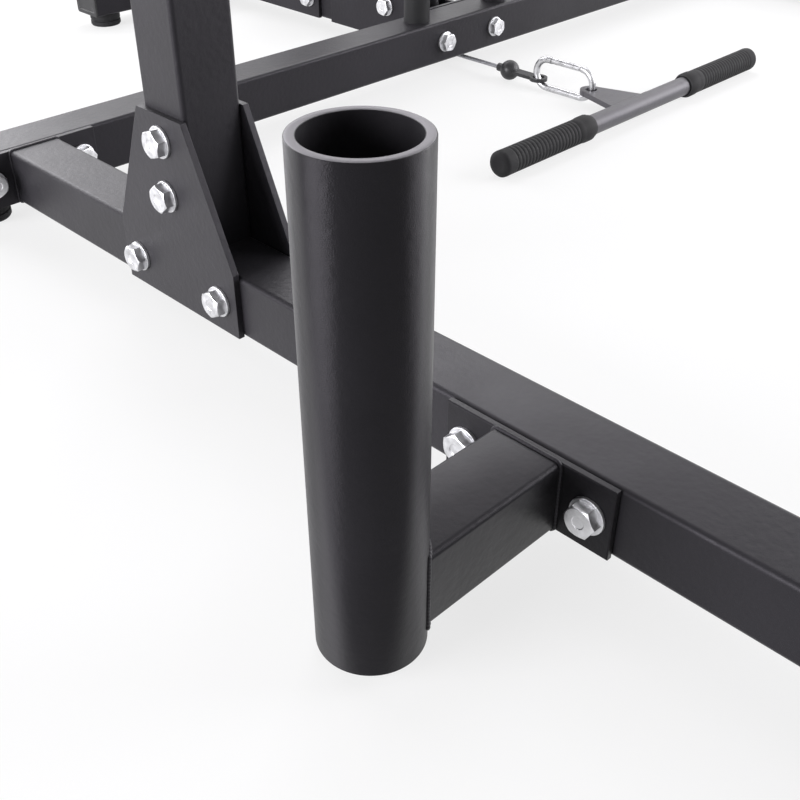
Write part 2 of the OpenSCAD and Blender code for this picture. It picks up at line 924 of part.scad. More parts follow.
// Right plate horn with its stop disc and its closed end
module plate_horn() {
    rod_x(stop_x, stop_x + stop_t, carriage_y, horn_z, stop_d / 2);
    difference() {
        rod_x(stop_x, horn_end, carriage_y, horn_z, horn_d / 2);
        rod_x(stop_x + stop_t, horn_end - horn_wall, carriage_y, horn_z, horn_d / 2 - horn_wall);
    }
}

module bush() {
    difference() {
        union() {
            cylinder(h = bush_flange, r = stop_x - rod_offset - bush_flange_room);
            cylinder(h = bush_length, r = sleeve_bore_r - 0.05);
        }
        translate([0, 0, -1]) cylinder(h = bush_length + 2, r = rod_d / 2 + bush_play);
    }
}

module carriage_bushes() {
    color(NYLON)
        for (side = [-1, 1]) {
            translate([side * rod_offset, carriage_y, sleeve_bottom]) bush();
            translate([side * rod_offset, carriage_y, sleeve_top]) mirror([0, 0, 1]) bush();
        }
}

module carriage_axle() {
    fork_grip = 2 * (fork_x + fork_t);
    color(ZINC)
        translate([0, carriage_y, carriage_pulley_z]) rotate(OUT_LEFT) {
            translate([0, 0, fork_grip / 2]) bolt(fork_grip);
            translate([0, 0, fork_grip / 2]) nut(fork_grip);
        }
}

// Pulleys

// Grooved pulley with a raised hub, round the X axis
rim_lip = 2.5;
hub_r = 19;
rim_depth = 7;

module pulley() {
    floor_r = groove_r - cable_r - groove_gap;
    floor_half = cable_r + 0.4;
    mouth_half = pulley_w / 2 - rim_lip;
    web_half = 4;
    web_in = hub_r;
    web_out = floor_r - rim_depth;
    rotate([0, 90, 0])
        rotate_extrude()
            polygon([
                [bolt_d / 2 + axle_play, -pulley_w / 2], [web_in - 2, -pulley_w / 2],
                [web_in, -web_half], [web_out, -web_half], [web_out + 2, -pulley_w / 2],
                [rim_r - 1, -pulley_w / 2], [rim_r, -pulley_w / 2 + 1], [rim_r, -mouth_half],
                [groove_r, -floor_half], [floor_r, -floor_half],
                [floor_r, floor_half], [groove_r, floor_half],
                [rim_r, mouth_half], [rim_r, pulley_w / 2 - 1], [rim_r - 1, pulley_w / 2],
                [web_out + 2, pulley_w / 2], [web_out, web_half], [web_in, web_half],
                [web_in - 2, pulley_w / 2], [bolt_d / 2 + axle_play, pulley_w / 2]
            ]);
}

module carriage_pulley() {
    color(NYLON) translate([0, carriage_y, carriage_pulley_z]) pulley();
}

module front_pulley() {
    color(NYLON) translate([0, front_pulley_y, pulley_z]) pulley();
}

module rear_pulley() {
    color(NYLON) translate([0, rear_pulley_y, pulley_z]) pulley();
}

module return_pulley() {
    color(NYLON) translate([0, return_y, pulley_z]) pulley();
}

module low_pulley() {
    color(NYLON) translate([0, return_y, low_z]) pulley();
}

// Cable

// Arc of cable round a pulley at y and z, from angle a0 to a1, seen from +X
module cable_arc(y, z, a0, a1) {
    translate([0, y, z]) rotate([90, 0, 90]) rotate([0, 0, a0])
        rotate_extrude(angle = a1 - a0) translate([groove_r, 0]) circle(r = cable_r);
}

module cable_top() {
    color(CABLE) {
        cable_arc(front_pulley_y, pulley_z, 90, 180);
        rod_y(0, front_pulley_y, rear_pulley_y, cable_top_z, cable_r);
        cable_arc(rear_pulley_y, pulley_z, 0, 90);
    }
}

module cable_front_fall() {
    color(CABLE) rod_z(0, fall_front_y, carriage_pulley_z + hang_gap, pulley_z, cable_r);
}

module cable_loop() {
    color(CABLE) cable_arc(carriage_y, carriage_pulley_z, 180, 360);
}

module cable_rear_fall() {
    color(CABLE) rod_z(0, fall_rear_y, carriage_pulley_z + hang_gap, pulley_z, cable_r);
}

module cable_return() {
    color(CABLE) {
        cable_arc(return_y, pulley_z, 0, 180);
        rod_z(0, down_y, low_z, pulley_z, cable_r);
        cable_arc(return_y, low_z, 270, 360);
        rod_y(0, cross_front_y, return_y, cable_low_z, cable_r);
    }
}

module cable_lat_lead() {
    color(CABLE) rod_z(0, lat_y, stopper_z + stopper_neck, pulley_z - hang_gap, cable_r);
}

// The row lead is straight, from the cross rail to the row stopper
module cable_row_lead() {
    color(CABLE)
        rod_y(0, row_ball_y + stopper_neck, cross_front_y - hang_gap, cable_low_z, cable_r);
}

// Handles, stoppers and snap hooks

// Snap hook in the XY plane, its long side along Y, without its gate
gate_r = snap_rod_r - 0.5;
rivet_r = 1.6;
rivet_out = 0.7;
gate_pivot = -snap_straight + gate_r + seat_gap;
gate_nose = 6;
gate_high = snap_straight - gate_nose;

module snap_hook() {
    for (turn = [0, 180])
        rotate([0, 0, turn]) translate([0, snap_straight, 0])
            rotate_extrude(angle = 180) translate([snap_r, 0]) circle(r = snap_rod_r);
    rod_y(-snap_r, -snap_straight, snap_straight, 0, snap_rod_r);
    rod_y(snap_r, gate_high + seat_gap, snap_straight, 0, snap_rod_r);
}

// Gate of the snap hook, hinged on a rivet at its lower end
module snap_gate() {
    translate([snap_r, gate_pivot, 0])
        rotate_extrude()
            difference() {
                circle(r = gate_r);
                translate([-2 * gate_r, -gate_r]) square([2 * gate_r, 2 * gate_r]);
            }
    rod_y(snap_r, gate_pivot, gate_high, 0, gate_r);
    translate([snap_r, gate_pivot, -gate_r - rivet_out])
        cylinder(h = 2 * (gate_r + rivet_out), r = rivet_r);
}

// Stopper ball with a flat tab whose hole takes a snap hook, the tab along -Y
module stopper() {
    difference() {
        union() {
            sphere(r = stopper_d / 2);
            rod_y(0, 0, stopper_neck, 0, cable_d);
            translate([0, -tab_reach, -tab_t / 2]) cylinder(h = tab_t, r = tab_r);
            translate([-tab_half, -tab_reach, -tab_t / 2]) cube([2 * tab_half, tab_reach, tab_t]);
        }
        translate([0, -tab_reach, -tab_t]) cylinder(h = 2 * tab_t, r = eye_hole_r);
    }
}

// Triangular eye plate, its base along X at y = 0
module eye_plate(reach) {
    translate([0, 0, -eye_t / 2])
        linear_extrude(height = eye_t)
            difference() {
                union() {
                    polygon([
                        [-eye_base_half, 0], [eye_base_half, 0],
                        [eye_r, reach], [-eye_r, reach]
                    ]);
                    translate([0, reach]) circle(r = eye_r);
                }
                translate([0, reach]) circle(r = eye_hole_r);
            }
}

module row_bar() {
    color(NYLON) {
        rod_x(-row_length / 2 + grip_end_t, row_length / 2 - grip_end_t, row_y, row_z, row_bar_d / 2);
        translate([0, row_y, row_z]) eye_plate(row_eye_reach);
    }
}

module row_grips() {
    color(RUBBER)
        for (side = [-1, 1])
            translate([side * row_length / 2, row_y, row_z]) rotate([0, -side * 90, 0])
                grip_sleeve(row_grip_length, row_grip_d, row_bar_d);
}

// Rubber sleeve with a closed, rounded end at z = 0
grip_play = 0.2;

module grip_sleeve(length, outer, inner) {
    round_r = 5;
    difference() {
        rotate_extrude()
            union() {
                translate([0, round_r]) square([outer / 2, length - round_r - 1]);
                square([outer / 2 - round_r, length]);
                translate([0, length - 1]) square([outer / 2 - 1, 1]);
                translate([outer / 2 - round_r, round_r]) circle(r = round_r);
            }
        translate([0, 0, grip_end_t - grip_play])
            cylinder(h = length, r = inner / 2 + grip_play / 2);
    }
}

module row_stopper() {
    color(RUBBER) translate([0, row_ball_y, row_ball_z]) stopper();
}

module row_snap_hook() {
    color(ZINC) translate([0, row_snap_y, row_snap_z]) rotate([0, -90, 0]) snap_hook();
}

module row_snap_gate() {
    color(ZINC) translate([0, row_snap_y, row_snap_z]) rotate([0, -90, 0]) snap_gate();
}

lat_end_x = lat_width / 2;
lat_bend_run = lat_bend_r * sin(lat_slope);
lat_arm = (lat_end_x - lat_middle / 2 - lat_bend_run) / cos(lat_slope);

// Start of the right sloping end, which runs along +Z
module at_lat_end() {
    translate([lat_middle / 2, lat_y, lat_z - lat_bend_r])
        rotate([0, lat_slope, 0]) translate([0, 0, lat_bend_r]) rotate([0, 90, 0]) children();
}

// Section of the lat bar's tube
module lat_section() {
    difference() {
        circle(r = lat_bar_d / 2);
        circle(r = lat_bar_d / 2 - lat_bar_wall);
    }
}

module lat_bar() {
    color(STEEL) {
        translate([-lat_middle / 2, lat_y, lat_z])
            rotate([0, 90, 0]) linear_extrude(height = lat_middle) lat_section();
        mirror_copy([1, 0, 0]) {
            translate([lat_middle / 2, lat_y, lat_z - lat_bend_r])
                rotate([90, 0, 0]) rotate([0, 0, 90 - lat_slope])
                    rotate_extrude(angle = lat_slope)
                        translate([lat_bend_r, 0]) lat_section();
            at_lat_end() linear_extrude(height = lat_arm - grip_end_t) lat_section();
        }
        translate([0, lat_y, lat_z]) rotate([90, 0, 0]) eye_plate(lat_eye_reach);
    }
}

module lat_grips() {
    color(RUBBER)
        mirror_copy([1, 0, 0])
            at_lat_end() translate([0, 0, lat_arm]) mirror([0, 0, 1])
                grip_sleeve(lat_grip_length, lat_grip_d, lat_bar_d);
}

module lat_stopper() {
    color(RUBBER)
        translate([0, lat_y, stopper_z]) rotate([90, 0, 0]) stopper();
}

// The lat bar's snap hook stands across its eye plate
module at_lat_snap() {
    translate([0, lat_y, lat_snap_z]) rotate([90, 0, 90]) children();
}

module lat_snap_hook() {
    color(ZINC) at_lat_snap() snap_hook();
}

module lat_snap_gate() {
    color(ZINC) at_lat_snap() snap_gate();
}

// Bar hooks and safeties

// Left bar hook: a channel round the upright with a peg, a shelf, a lip and a rib
module bar_hook() {
    face = front_face_y - seat_gap;
    back = face - hook_plate_t;
    lip = back - hook_room;
    low = hook_z - hook_down;
    shelf = hook_z - hook_shelf_down;
    translate([-side_x, 0, 0]) {
        block([-hook_w / 2, back, low], [hook_w / 2, face, hook_z + hook_up]);
        mirror_copy([1, 0, 0])
            block([tube / 2 + seat_gap, face - 1, low], [hook_w / 2, face + hook_wrap, hook_z + hook_up]);
        rod_y(0, face - 1, face + hook_peg, hook_z, pin_d / 2);
        block([-hook_w / 2, lip - hook_shelf_t, shelf], [hook_w / 2, back + 1, shelf + hook_shelf_t]);
        block([-hook_w / 2, lip - hook_shelf_t, shelf],
              [hook_w / 2, lip, shelf + hook_shelf_t + hook_lip]);
        slab_x(-hook_plate_t / 2, hook_plate_t / 2)
            polygon([[back + 1, low], [back + 1, shelf + 1], [lip + hook_rib_short, shelf + 1]]);
    }
}

module left_bar_hook() {
    color(STEEL) bar_hook();
}

module right_bar_hook() {
    color(STEEL) mirror([1, 0, 0]) bar_hook();
}

safety_bore_r = safety_d / 2 - safety_wall;
safety_axis_z = safety_z + pin_d / 2 + hang_gap - safety_bore_r;

module safety_pipes() {
    color(STEEL)
        for (side = [-1, 1])
            difference() {
                rod_y(side * side_x, front_y + tube / 2 + safety_gap, rear_y - tube / 2 - safety_gap,
                      safety_axis_z, safety_d / 2);
                rod_y(side * side_x, front_y, rear_y, safety_axis_z, safety_bore_r);
            }
}

// Long pin through both uprights, with a spool-shaped handle at its front end
knob_t = 6;
knob_neck = 28;
knob_r = pin_d / 2 + 7;
pin_tail = 15;

module safety_pin(x) {
    head = front_face_y - seat_gap;
    rod_y(x, head - knob_t, rear_y + tube / 2 + pin_tail, safety_z, pin_d / 2);
    rod_y(x, head - knob_t, head, safety_z, knob_r);
    rod_y(x, head - knob_t - knob_neck, head - knob_t, safety_z, pin_d / 2);
    rod_y(x, head - 2 * knob_t - knob_neck, head - knob_t - knob_neck, safety_z, knob_r);
}

module left_safety_pin() {
    color(ZINC) safety_pin(-side_x);
}

module right_safety_pin() {
    color(ZINC) safety_pin(side_x);
}

left_side_rail();
right_side_rail();
rear_cross_rail();
left_front_upright();
right_front_upright();
left_rear_upright();
right_rear_upright();
left_top_beam();
right_top_beam();
rear_top_beam();
pull_up_bar();
left_gusset_plates();
right_gusset_plates();
tower_gusset_plates();
left_bar_holder();
right_bar_holder();
tower_base();
tower_foot();
tower_post();
tower_beam();
left_guide_rod();
right_guide_rod();
rod_bumpers();
gusset_bolts();
gusset_nuts();
plate_bolts();
plate_nuts();
pulley_axles();
end_caps();
rubber_feet();
safety_pipes();
carriage_frame();
carriage_bushes();
carriage_axle();
carriage_pulley();
front_pulley();
rear_pulley();
return_pulley();
low_pulley();
cable_top();
cable_front_fall();
cable_loop();
cable_rear_fall();
cable_return();
cable_lat_lead();
cable_row_lead();
lat_bar();
lat_grips();
lat_stopper();
lat_snap_hook();
lat_snap_gate();
row_bar();
row_grips();
row_stopper();
row_snap_hook();
row_snap_gate();
left_bar_hook();
right_bar_hook();
left_safety_pin();
right_safety_pin();
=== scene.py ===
# Looks of a power rack with a lat and low-row tower
# Metres, +Z up, front towards -Y, origin on the floor under the middle of the rack

from math import asin, cos, hypot, pi, radians, sin, sqrt, tan, tau

import bpy
from bpy.props import FloatProperty, FloatVectorProperty, IntProperty, PointerProperty
from mathutils import Matrix, Vector


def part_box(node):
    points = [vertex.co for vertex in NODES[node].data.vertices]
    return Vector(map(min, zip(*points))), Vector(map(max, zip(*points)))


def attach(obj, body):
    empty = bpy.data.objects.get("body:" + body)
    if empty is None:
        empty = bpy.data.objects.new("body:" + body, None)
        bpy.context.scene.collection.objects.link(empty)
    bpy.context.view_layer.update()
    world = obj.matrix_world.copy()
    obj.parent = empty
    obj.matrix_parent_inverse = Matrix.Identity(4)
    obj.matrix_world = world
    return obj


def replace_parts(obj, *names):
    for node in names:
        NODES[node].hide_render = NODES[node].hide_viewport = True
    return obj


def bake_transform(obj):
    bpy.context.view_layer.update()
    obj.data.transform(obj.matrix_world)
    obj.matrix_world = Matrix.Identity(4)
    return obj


bl_info = {
    "name": "Power rack",
    "version": (1, 0, 0),
    "blender": (4, 5, 0),
    "location": "3D View > Sidebar > Rack",
    "description": "Builds the finishes and the fine pieces of a power rack",
    "category": "Object",
}

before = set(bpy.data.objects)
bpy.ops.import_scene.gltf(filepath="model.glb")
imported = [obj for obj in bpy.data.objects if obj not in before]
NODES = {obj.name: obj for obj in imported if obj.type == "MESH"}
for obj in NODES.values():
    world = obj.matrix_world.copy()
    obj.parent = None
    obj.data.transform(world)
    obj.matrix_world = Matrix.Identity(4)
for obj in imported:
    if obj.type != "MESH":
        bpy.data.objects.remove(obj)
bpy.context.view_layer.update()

# Places and sizes of the welded and bolted frame
TUBE = 0.050
HALF = TUBE / 2
CORNER = 0.0035
PLATE = 0.005
PLATE_LENGTH = 0.125
SIDE_X = 0.611
RACK_X = 0.636
FRONT_Y = -0.7065
REAR_Y = 0.0935
CROSS_Y = 0.3905
CROSS_FRONT_Y = CROSS_Y - HALF
POST_Y = 0.6955
REAR_END = 0.8955
FLOOR_GAP = 0.018
RAIL_Z = FLOOR_GAP + HALF
DECK_Z = FLOOR_GAP + TUBE
UPRIGHT_TOP = 2.150
SIDE_BEAM_Z = 2.086
CROSS_BEAM_Z = 2.062
BEAM_BOTTOM = 2.115
BEAM_TOP = BEAM_BOTTOM + TUBE
BEAM_Z = BEAM_BOTTOM + HALF
INNER_X = SIDE_X - HALF
HOLDER_X = 0.766
HOLDER_Y = -0.2525
HOLDER_R = 0.03015
HOLDER_BORE_R = 0.02515
HOLDER_LOW = 0.008
HOLDER_TOP = 0.288
BOLTS_APART = 0.093

# Places and sizes of the cable, its pulleys, the carriage and the bars
PULLEY_Z = 2.049
LOW_Z = 0.060
GROOVE_R = 0.048
RIM_R = 0.056
PULLEY_W = 0.022
FRONT_PULLEY_Y = -0.0525
REAR_PULLEY_Y = 0.2945
RETURN_Y = 0.4865
CARRIAGE_PULLEY_Z = 0.400
ROD_X = 0.072
HORN_Z = 0.305
HORN_R = 0.0245
STOP_X = 0.0935
STOP_T = 0.008
CROSS_HALF = 0.681
FOOT_HALF = 0.250
CABLE_R = 0.0025
CABLE_LOW_Z = 0.012
LAT_Y = FRONT_PULLEY_Y - GROOVE_R
HANG_GAP = 0.0003
BAR_Z = 1.803106
ROW_Y = 0.1055
ROW_Z = 0.0145
ROW_HALF = 0.245
ROW_R = 0.011


# Sizes and colours that a user would change

def tint(name, text, default):
    return FloatVectorProperty(name=name, description=text, subtype="COLOR", size=3, min=0.0,
                               max=1.0, default=default)


def share(name, text, default, low=0.0, high=1.0):
    return FloatProperty(name=name, description=text, subtype="FACTOR", min=low, max=high,
                         default=default)


def span(name, text, default, low, high):
    return FloatProperty(name=name, description=text, subtype="DISTANCE", unit="LENGTH",
                         min=low, max=high, default=default)


def watts(name, text, default):
    return FloatProperty(name=name, description=text, subtype="POWER", unit="POWER", min=0.0,
                         max=500.0, default=default)


def angle(name, text, degrees):
    return FloatProperty(name=name, description=text, subtype="ANGLE", unit="ROTATION",
                         default=radians(degrees))


class RackCoat(bpy.types.PropertyGroup):
    """Powder coat of the frame"""

    color: tint("Coat colour", "Colour of the powder coat", (0.0146, 0.0139, 0.0163))
    ring: tint("Pipe end colour", "Colour of the thin coat on the pipes' sawn ends",
               (0.270, 0.262, 0.277))
    roughness: share("Roughness", "Mean roughness of the coat", 0.46, 0.1, 0.9)
    gloss: share("Gloss", "Specular level of the coat", 0.2)
    peel: share("Orange peel", "Strength of the long waves in the coat", 0.36)
    grain: share("Grain", "Strength of the fine grain in the coat", 0.80)


class RackWelds(bpy.types.PropertyGroup):
    """Weld beads between tubes and plates"""

    bead: span("Bead radius", "Radius of a weld bead", 0.0013, 0.001, 0.004)
    ripple: span("Ripple length", "Distance between two ripples of a bead",
                   0.0026, 0.001, 0.006)


class RackFasteners(bpy.types.PropertyGroup):
    """Bolts, washers and nuts"""

    thread: span("Thread diameter", "Outer diameter of the bolt threads", 0.012, 0.010, 0.012)
    flats: span("Across flats", "Width of the heads and nuts across their flats",
                  0.019, 0.017, 0.019)
    washer: span("Washer diameter", "Outer diameter of the washers", 0.024, 0.022, 0.024)
    plating: tint("Plating", "Colour of the zinc plating", (0.70, 0.70, 0.72))


class RackGrips(bpy.types.PropertyGroup):
    """Rubber grips of the row bar and the lat bar"""

    rib_pitch: span("Rib pitch", "Distance between the ribs of a grip", 0.0055, 0.003, 0.012)
    rib_depth: span("Rib depth", "Depth of the grooves between the ribs", 0.0006, 0.0, 0.0015)
    color: tint("Grip colour", "Colour of the grip rubber", (0.0150, 0.0147, 0.0158))


class RackCable(bpy.types.PropertyGroup):
    """Steel rope in a thin jacket"""

    strands: IntProperty(
        name="Strands", description="Strands that show through the jacket", min=3, max=9,
        default=6,
    )
    lay: span("Lay length", "Length of one turn of a strand", 0.034, 0.015, 0.080)
    color: tint("Jacket colour", "Colour of the rope and its jacket", (0.30, 0.30, 0.32))


class RackStage(bpy.types.PropertyGroup):
    """Floor, lights and camera"""

    floor_color: tint("Floor colour", "Colour of the floor", (0.86, 0.86, 0.86))
    floor_white: share("Floor whiteness", "Share of plain white in the floor near the rack", 0.76)
    fill: FloatProperty(
        name="Fill light", description="Strength of the room light", min=0.0, max=2.0,
        default=0.14,
    )
    key: watts("Key light", "Power of the softbox behind the left side", 40.0)
    side: watts("Side light", "Power of the softbox on the right", 20.0)
    back: watts("Back light", "Power of the high softbox behind the rack", 44.0)
    left: watts("Left light", "Power of the softbox on the left", 130.0)
    front: watts("Front light", "Power of the softbox at the right front", 80.0)
    camera: FloatVectorProperty(
        name="Camera place", description="Where the camera stands", subtype="XYZ", unit="LENGTH",
        size=3, default=(-1.0325, -0.5407, 0.4389),
    )
    yaw: angle("Camera yaw", "Direction of the view, from +X towards +Y", 45.0)
    pitch: angle("Camera pitch", "How far the camera looks down", 35.264)
    lens: FloatProperty(
        name="Lens", description="Focal length on a 36 mm sensor in millimetres",
        min=20.0, max=120.0, default=47.48,
    )


# Material helpers

# Ends of the middle span of a noise, which is spread over a finish's whole range
NOISE_LOW = 0.3
NOISE_HIGH = 0.7

# Facing values between which the sheen of a slanted surface rises, and its film's index
SLANT_START = 0.33
SLANT_END = 0.50
FILM_IOR = 1.7


def wire(tree, node, values):
    """Constants and links put on the inputs of a node."""
    for socket, value in values.items():
        if isinstance(value, bpy.types.NodeSocket):
            tree.links.new(value, node.inputs[socket])
        else:
            node.inputs[socket].default_value = value
    return node


def add(tree, kind, values=None):
    """New node with constants and links on its inputs."""
    return wire(tree, tree.nodes.new(f"ShaderNode{kind}"), values or {})


def new_finish(name):
    """New material with its node tree, its shader and its object coordinates."""
    finish = bpy.data.materials.new(name)
    finish.use_nodes = True
    tree = finish.node_tree
    return finish, tree, tree.nodes["Principled BSDF"], add(tree, "TexCoord").outputs["Object"]


def noise(tree, place, scale, detail=2.0, rough=0.5):
    """Cloud values from 0 to 1, most of them between NOISE_LOW and NOISE_HIGH."""
    return add(tree, "TexNoise", {"Vector": place, "Scale": scale, "Detail": detail,
                                  "Roughness": rough}).outputs["Fac"]


def ramp(tree, value, low, high):
    """Value spread between two colours."""
    band = add(tree, "ValToRGB", {"Fac": value})
    for element, position, color in zip(band.color_ramp.elements, (NOISE_LOW, NOISE_HIGH),
                                        (low, high)):
        element.position = position
        element.color = (*color, 1.0)
    return band.outputs["Color"]


def shades(tree, value, color, low, high):
    """Value spread between two shades of a colour."""
    return ramp(tree, value, shade_of(color, low), shade_of(color, high))


def spread(tree, value, low, high):
    """Value spread between two numbers."""
    return add(tree, "MapRange", {"Value": value, "From Min": NOISE_LOW, "From Max": NOISE_HIGH,
                                  "To Min": low, "To Max": high}).outputs["Result"]


def bump(tree, height, strength, depth, under=None):
    values = {"Height": height, "Strength": strength, "Distance": depth}
    if under is not None:
        values["Normal"] = under
    return add(tree, "Bump", values).outputs["Normal"]


def soft_edges(tree, radius):
    edge = add(tree, "Bevel", {"Radius": radius})
    edge.samples = 4
    return edge.outputs["Normal"]


def shade_of(color, factor):
    return tuple(min(1.0, c * factor) for c in color)


def smooth_rise(tree, value, start, end, low, high):
    """Value that rises from low to high between a start and an end."""
    rise = add(tree, "MapRange", {"Value": value, "From Min": start, "From Max": end,
                                  "To Min": low, "To Max": high})
    rise.interpolation_type = "SMOOTHSTEP"
    return rise.outputs["Result"]


def slant_sheen(tree, shader, weight, roughness):
    """Clear film that shines where the surface is seen at a slant."""
    slant = add(tree, "LayerWeight", {"Blend": 0.5}).outputs["Facing"]
    wire(tree, shader, {
        "Coat Weight": smooth_rise(tree, slant, SLANT_START, SLANT_END, 0.0, weight),
        "Coat IOR": FILM_IOR, "Coat Roughness": roughness,
    })


def powder_coat(name, color, roughness, gloss, peel, grain, edge=0.0012, sheen=0.22, drawn=0.0):
    """Satin powder coat with orange peel, fine grain and uneven sheen."""
    finish, tree, shader, place = new_finish(name)
    normal = bump(tree, noise(tree, place, 210.0, 1.0), peel, 0.0006, soft_edges(tree, edge))
    normal = bump(tree, noise(tree, place, 1500.0), grain, 0.00012, normal)
    wire(tree, shader, {
        "Base Color": shades(tree, noise(tree, place, 7.0, 3.0), color, 0.82, 1.22),
        "Roughness": spread(tree, noise(tree, place, 34.0), roughness - 0.035, roughness + 0.035),
        "Specular IOR Level": gloss, "Specular Tint": (0.96, 0.92, 1.0, 1.0),
        "Normal": normal, "Coat Normal": normal,
    })
    slant_sheen(tree, shader, sheen, roughness - 0.10)
    if drawn:
        around = add(tree, "Tangent")
        around.direction_type = "RADIAL"
        around.axis = "Z"
        wire(tree, shader, {"Anisotropic": drawn, "Anisotropic Rotation": 0.25,
                            "Tangent": around.outputs["Tangent"]})
    return finish


def plated_steel(name, color, low, high):
    """Bright zinc plating with fine pickling grain and patches of duller metal."""
    finish, tree, shader, place = new_finish(name)
    patches = noise(tree, place, 160.0, 3.0, 0.6)
    wire(tree, shader, {
        "Metallic": 1.0,
        "Base Color": shades(tree, patches, color, 0.78, 1.08),
        "Roughness": spread(tree, patches, low, high),
        "Normal": bump(tree, noise(tree, place, 2600.0), 0.25, 0.0001, soft_edges(tree, 0.0005)),
    })
    return finish


def polished_rod(name):
    """Hard chrome with fine marks along the rod, where the bushes run."""
    finish, tree, shader, place = new_finish(name)
    along = add(tree, "Mapping", {"Vector": place, "Scale": (900.0, 900.0, 6.0)})
    marks = noise(tree, along.outputs["Vector"], 1.0, 3.0, 0.6)
    wire(tree, shader, {
        "Metallic": 1.0,
        "Base Color": ramp(tree, marks, (0.42, 0.42, 0.44), (0.58, 0.58, 0.60)),
        "Roughness": spread(tree, marks, 0.08, 0.20),
        "Normal": bump(tree, marks, 0.12, 0.00005),
    })
    return finish


def soft_rubber(name, color, roughness=0.72):
    """Matt rubber with moulding grain and a little bloom."""
    finish, tree, shader, place = new_finish(name)
    bloom = noise(tree, place, 42.0, 3.0, 0.6)
    wire(tree, shader, {
        "Base Color": shades(tree, bloom, color, 0.80, 1.30),
        "Roughness": spread(tree, bloom, roughness - 0.08, roughness + 0.06),
        "Specular IOR Level": 0.22,
        "Normal": bump(tree, noise(tree, place, 1900.0, 2.0, 0.6), 0.35, 0.00015),
    })
    return finish


def moulded_plastic(name, color, roughness):
    """Moulded plastic with spark-eroded grain and flow marks."""
    finish, tree, shader, place = new_finish(name)
    flow = noise(tree, place, 55.0)
    texture = add(tree, "TexVoronoi", {"Vector": place, "Scale": 1300.0})
    wire(tree, shader, {
        "Base Color": shades(tree, flow, color, 0.86, 1.16),
        "Roughness": spread(tree, flow, roughness - 0.06, roughness + 0.06),
        "Specular IOR Level": 0.42,
        "Normal": bump(tree, texture.outputs["Distance"], 0.18, 0.00012,
                       soft_edges(tree, 0.0006)),
    })
    return finish


def jacketed_rope(name, color):
    """Grey steel strands seen through a clear nylon jacket."""
    finish, tree, shader, place = new_finish(name)
    wires = noise(tree, place, 900.0, 3.0, 0.7)
    wire(tree, shader, {
        "Base Color": shades(tree, wires, color, 0.60, 1.45),
        "Roughness": spread(tree, wires, 0.30, 0.48),
        "Metallic": 0.35, "Coat Weight": 0.5, "Coat Roughness": 0.12,
        "Normal": bump(tree, wires, 0.25, 0.0001),
    })
    return finish


FINISH = {}


# Mesh helpers: a form is a list of points and a list of faces

def join_forms(forms):
    """Several forms as one."""
    points, faces = [], []
    for some_points, some_faces in forms:
        start = len(points)
        points.extend(some_points)
        faces.extend([tuple(start + i for i in face) for face in some_faces])
    return points, faces


def moved(form, matrix):
    """Form carried by a matrix, with its faces still turned outwards."""
    flipped = matrix.to_3x3().determinant() < 0
    points = [tuple(matrix @ Vector(p)) for p in form[0]]
    faces = [tuple(reversed(f)) for f in form[1]] if flipped else form[1]
    return points, faces


def circle(radius, count, z=0.0):
    return [(radius * cos(tau * k / count),
             radius * sin(tau * k / count), z) for k in range(count)]


def lathe(profile, segments=48):
    """Profile of (radius, height) pairs turned round +Z; a radius of 0 closes the end."""
    points, faces, rings = [], [], []
    for radius, height in profile:
        if radius <= 0.0:
            rings.append([len(points)])
            points.append((0.0, 0.0, height))
            continue
        rings.append(list(range(len(points), len(points) + segments)))
        points += circle(radius, segments, height)
    for low, high in zip(rings, rings[1:]):
        for k in range(segments):
            n = (k + 1) % segments
            if len(low) == 1:
                faces.append((low[0], high[n], high[k]))
            elif len(high) == 1:
                faces.append((low[k], low[n], high[0]))
            else:
                faces.append((low[k], low[n], high[n], high[k]))
    return points, faces


def skin(loops, closed_ends=True):
    """Loops of equal length joined one after the other."""
    size = len(loops[0])
    points = [tuple(p) for loop in loops for p in loop]
    faces = []
    for j in range(len(loops) - 1):
        for k in range(size):
            n = (k + 1) % size
            faces.append((j * size + k, j * size + n, (j + 1) * size + n, (j + 1) * size + k))
    if closed_ends:
        faces.append(tuple(reversed(range(size))))
        last = (len(loops) - 1) * size
        faces.append(tuple(range(last, last + size)))
    return points, faces


def rounded_square(side, radius, steps=6):
    """Points of a square with rounded corners, anticlockwise seen from +Z."""
    points = []
    c = side / 2 - radius
    for quarter, (sx, sy) in enumerate(((1, 1), (-1, 1), (-1, -1), (1, -1))):
        for k in range(steps + 1):
            a = pi / 2 * (quarter + k / steps)
            points.append((sx * c + radius * cos(a), sy * c + radius * sin(a)))
    return points


def sampled(path, step, closed):
    """Points at even steps along a path."""
    ends = list(path) + ([path[0]] if closed else [])
    spans = [(Vector(b) - Vector(a)).length for a, b in zip(ends, ends[1:])]
    total = sum(spans)
    count = max(8, int(round(total / step)))
    wanted = [total * i / count for i in range(count + (0 if closed else 1))]
    points, j, passed = [], 0, 0.0
    for goal in wanted:
        while j < len(spans) - 1 and passed + spans[j] < goal:
            passed += spans[j]
            j += 1
        part = (goal - passed) / spans[j] if spans[j] > 0 else 0.0
        points.append(Vector(ends[j]).lerp(Vector(ends[j + 1]), min(1.0, max(0.0, part))))
    return points, total / count


def frames_along(points, closed):
    """Two side directions at each point, turned as little as possible."""
    count = len(points)
    frames = []
    side = None
    for i in range(count):
        before = points[i - 1] if (closed or i > 0) else points[i]
        after = points[(i + 1) % count] if (closed or i < count - 1) else points[i]
        tangent = (after - before).normalized()
        if side is None:
            helper = Vector((0, 0, 1)) if abs(tangent.z) < 0.9 else Vector((1, 0, 0))
            side = tangent.cross(helper).normalized()
        side = (side - tangent * side.dot(tangent)).normalized()
        frames.append((side, tangent.cross(side)))
    return frames


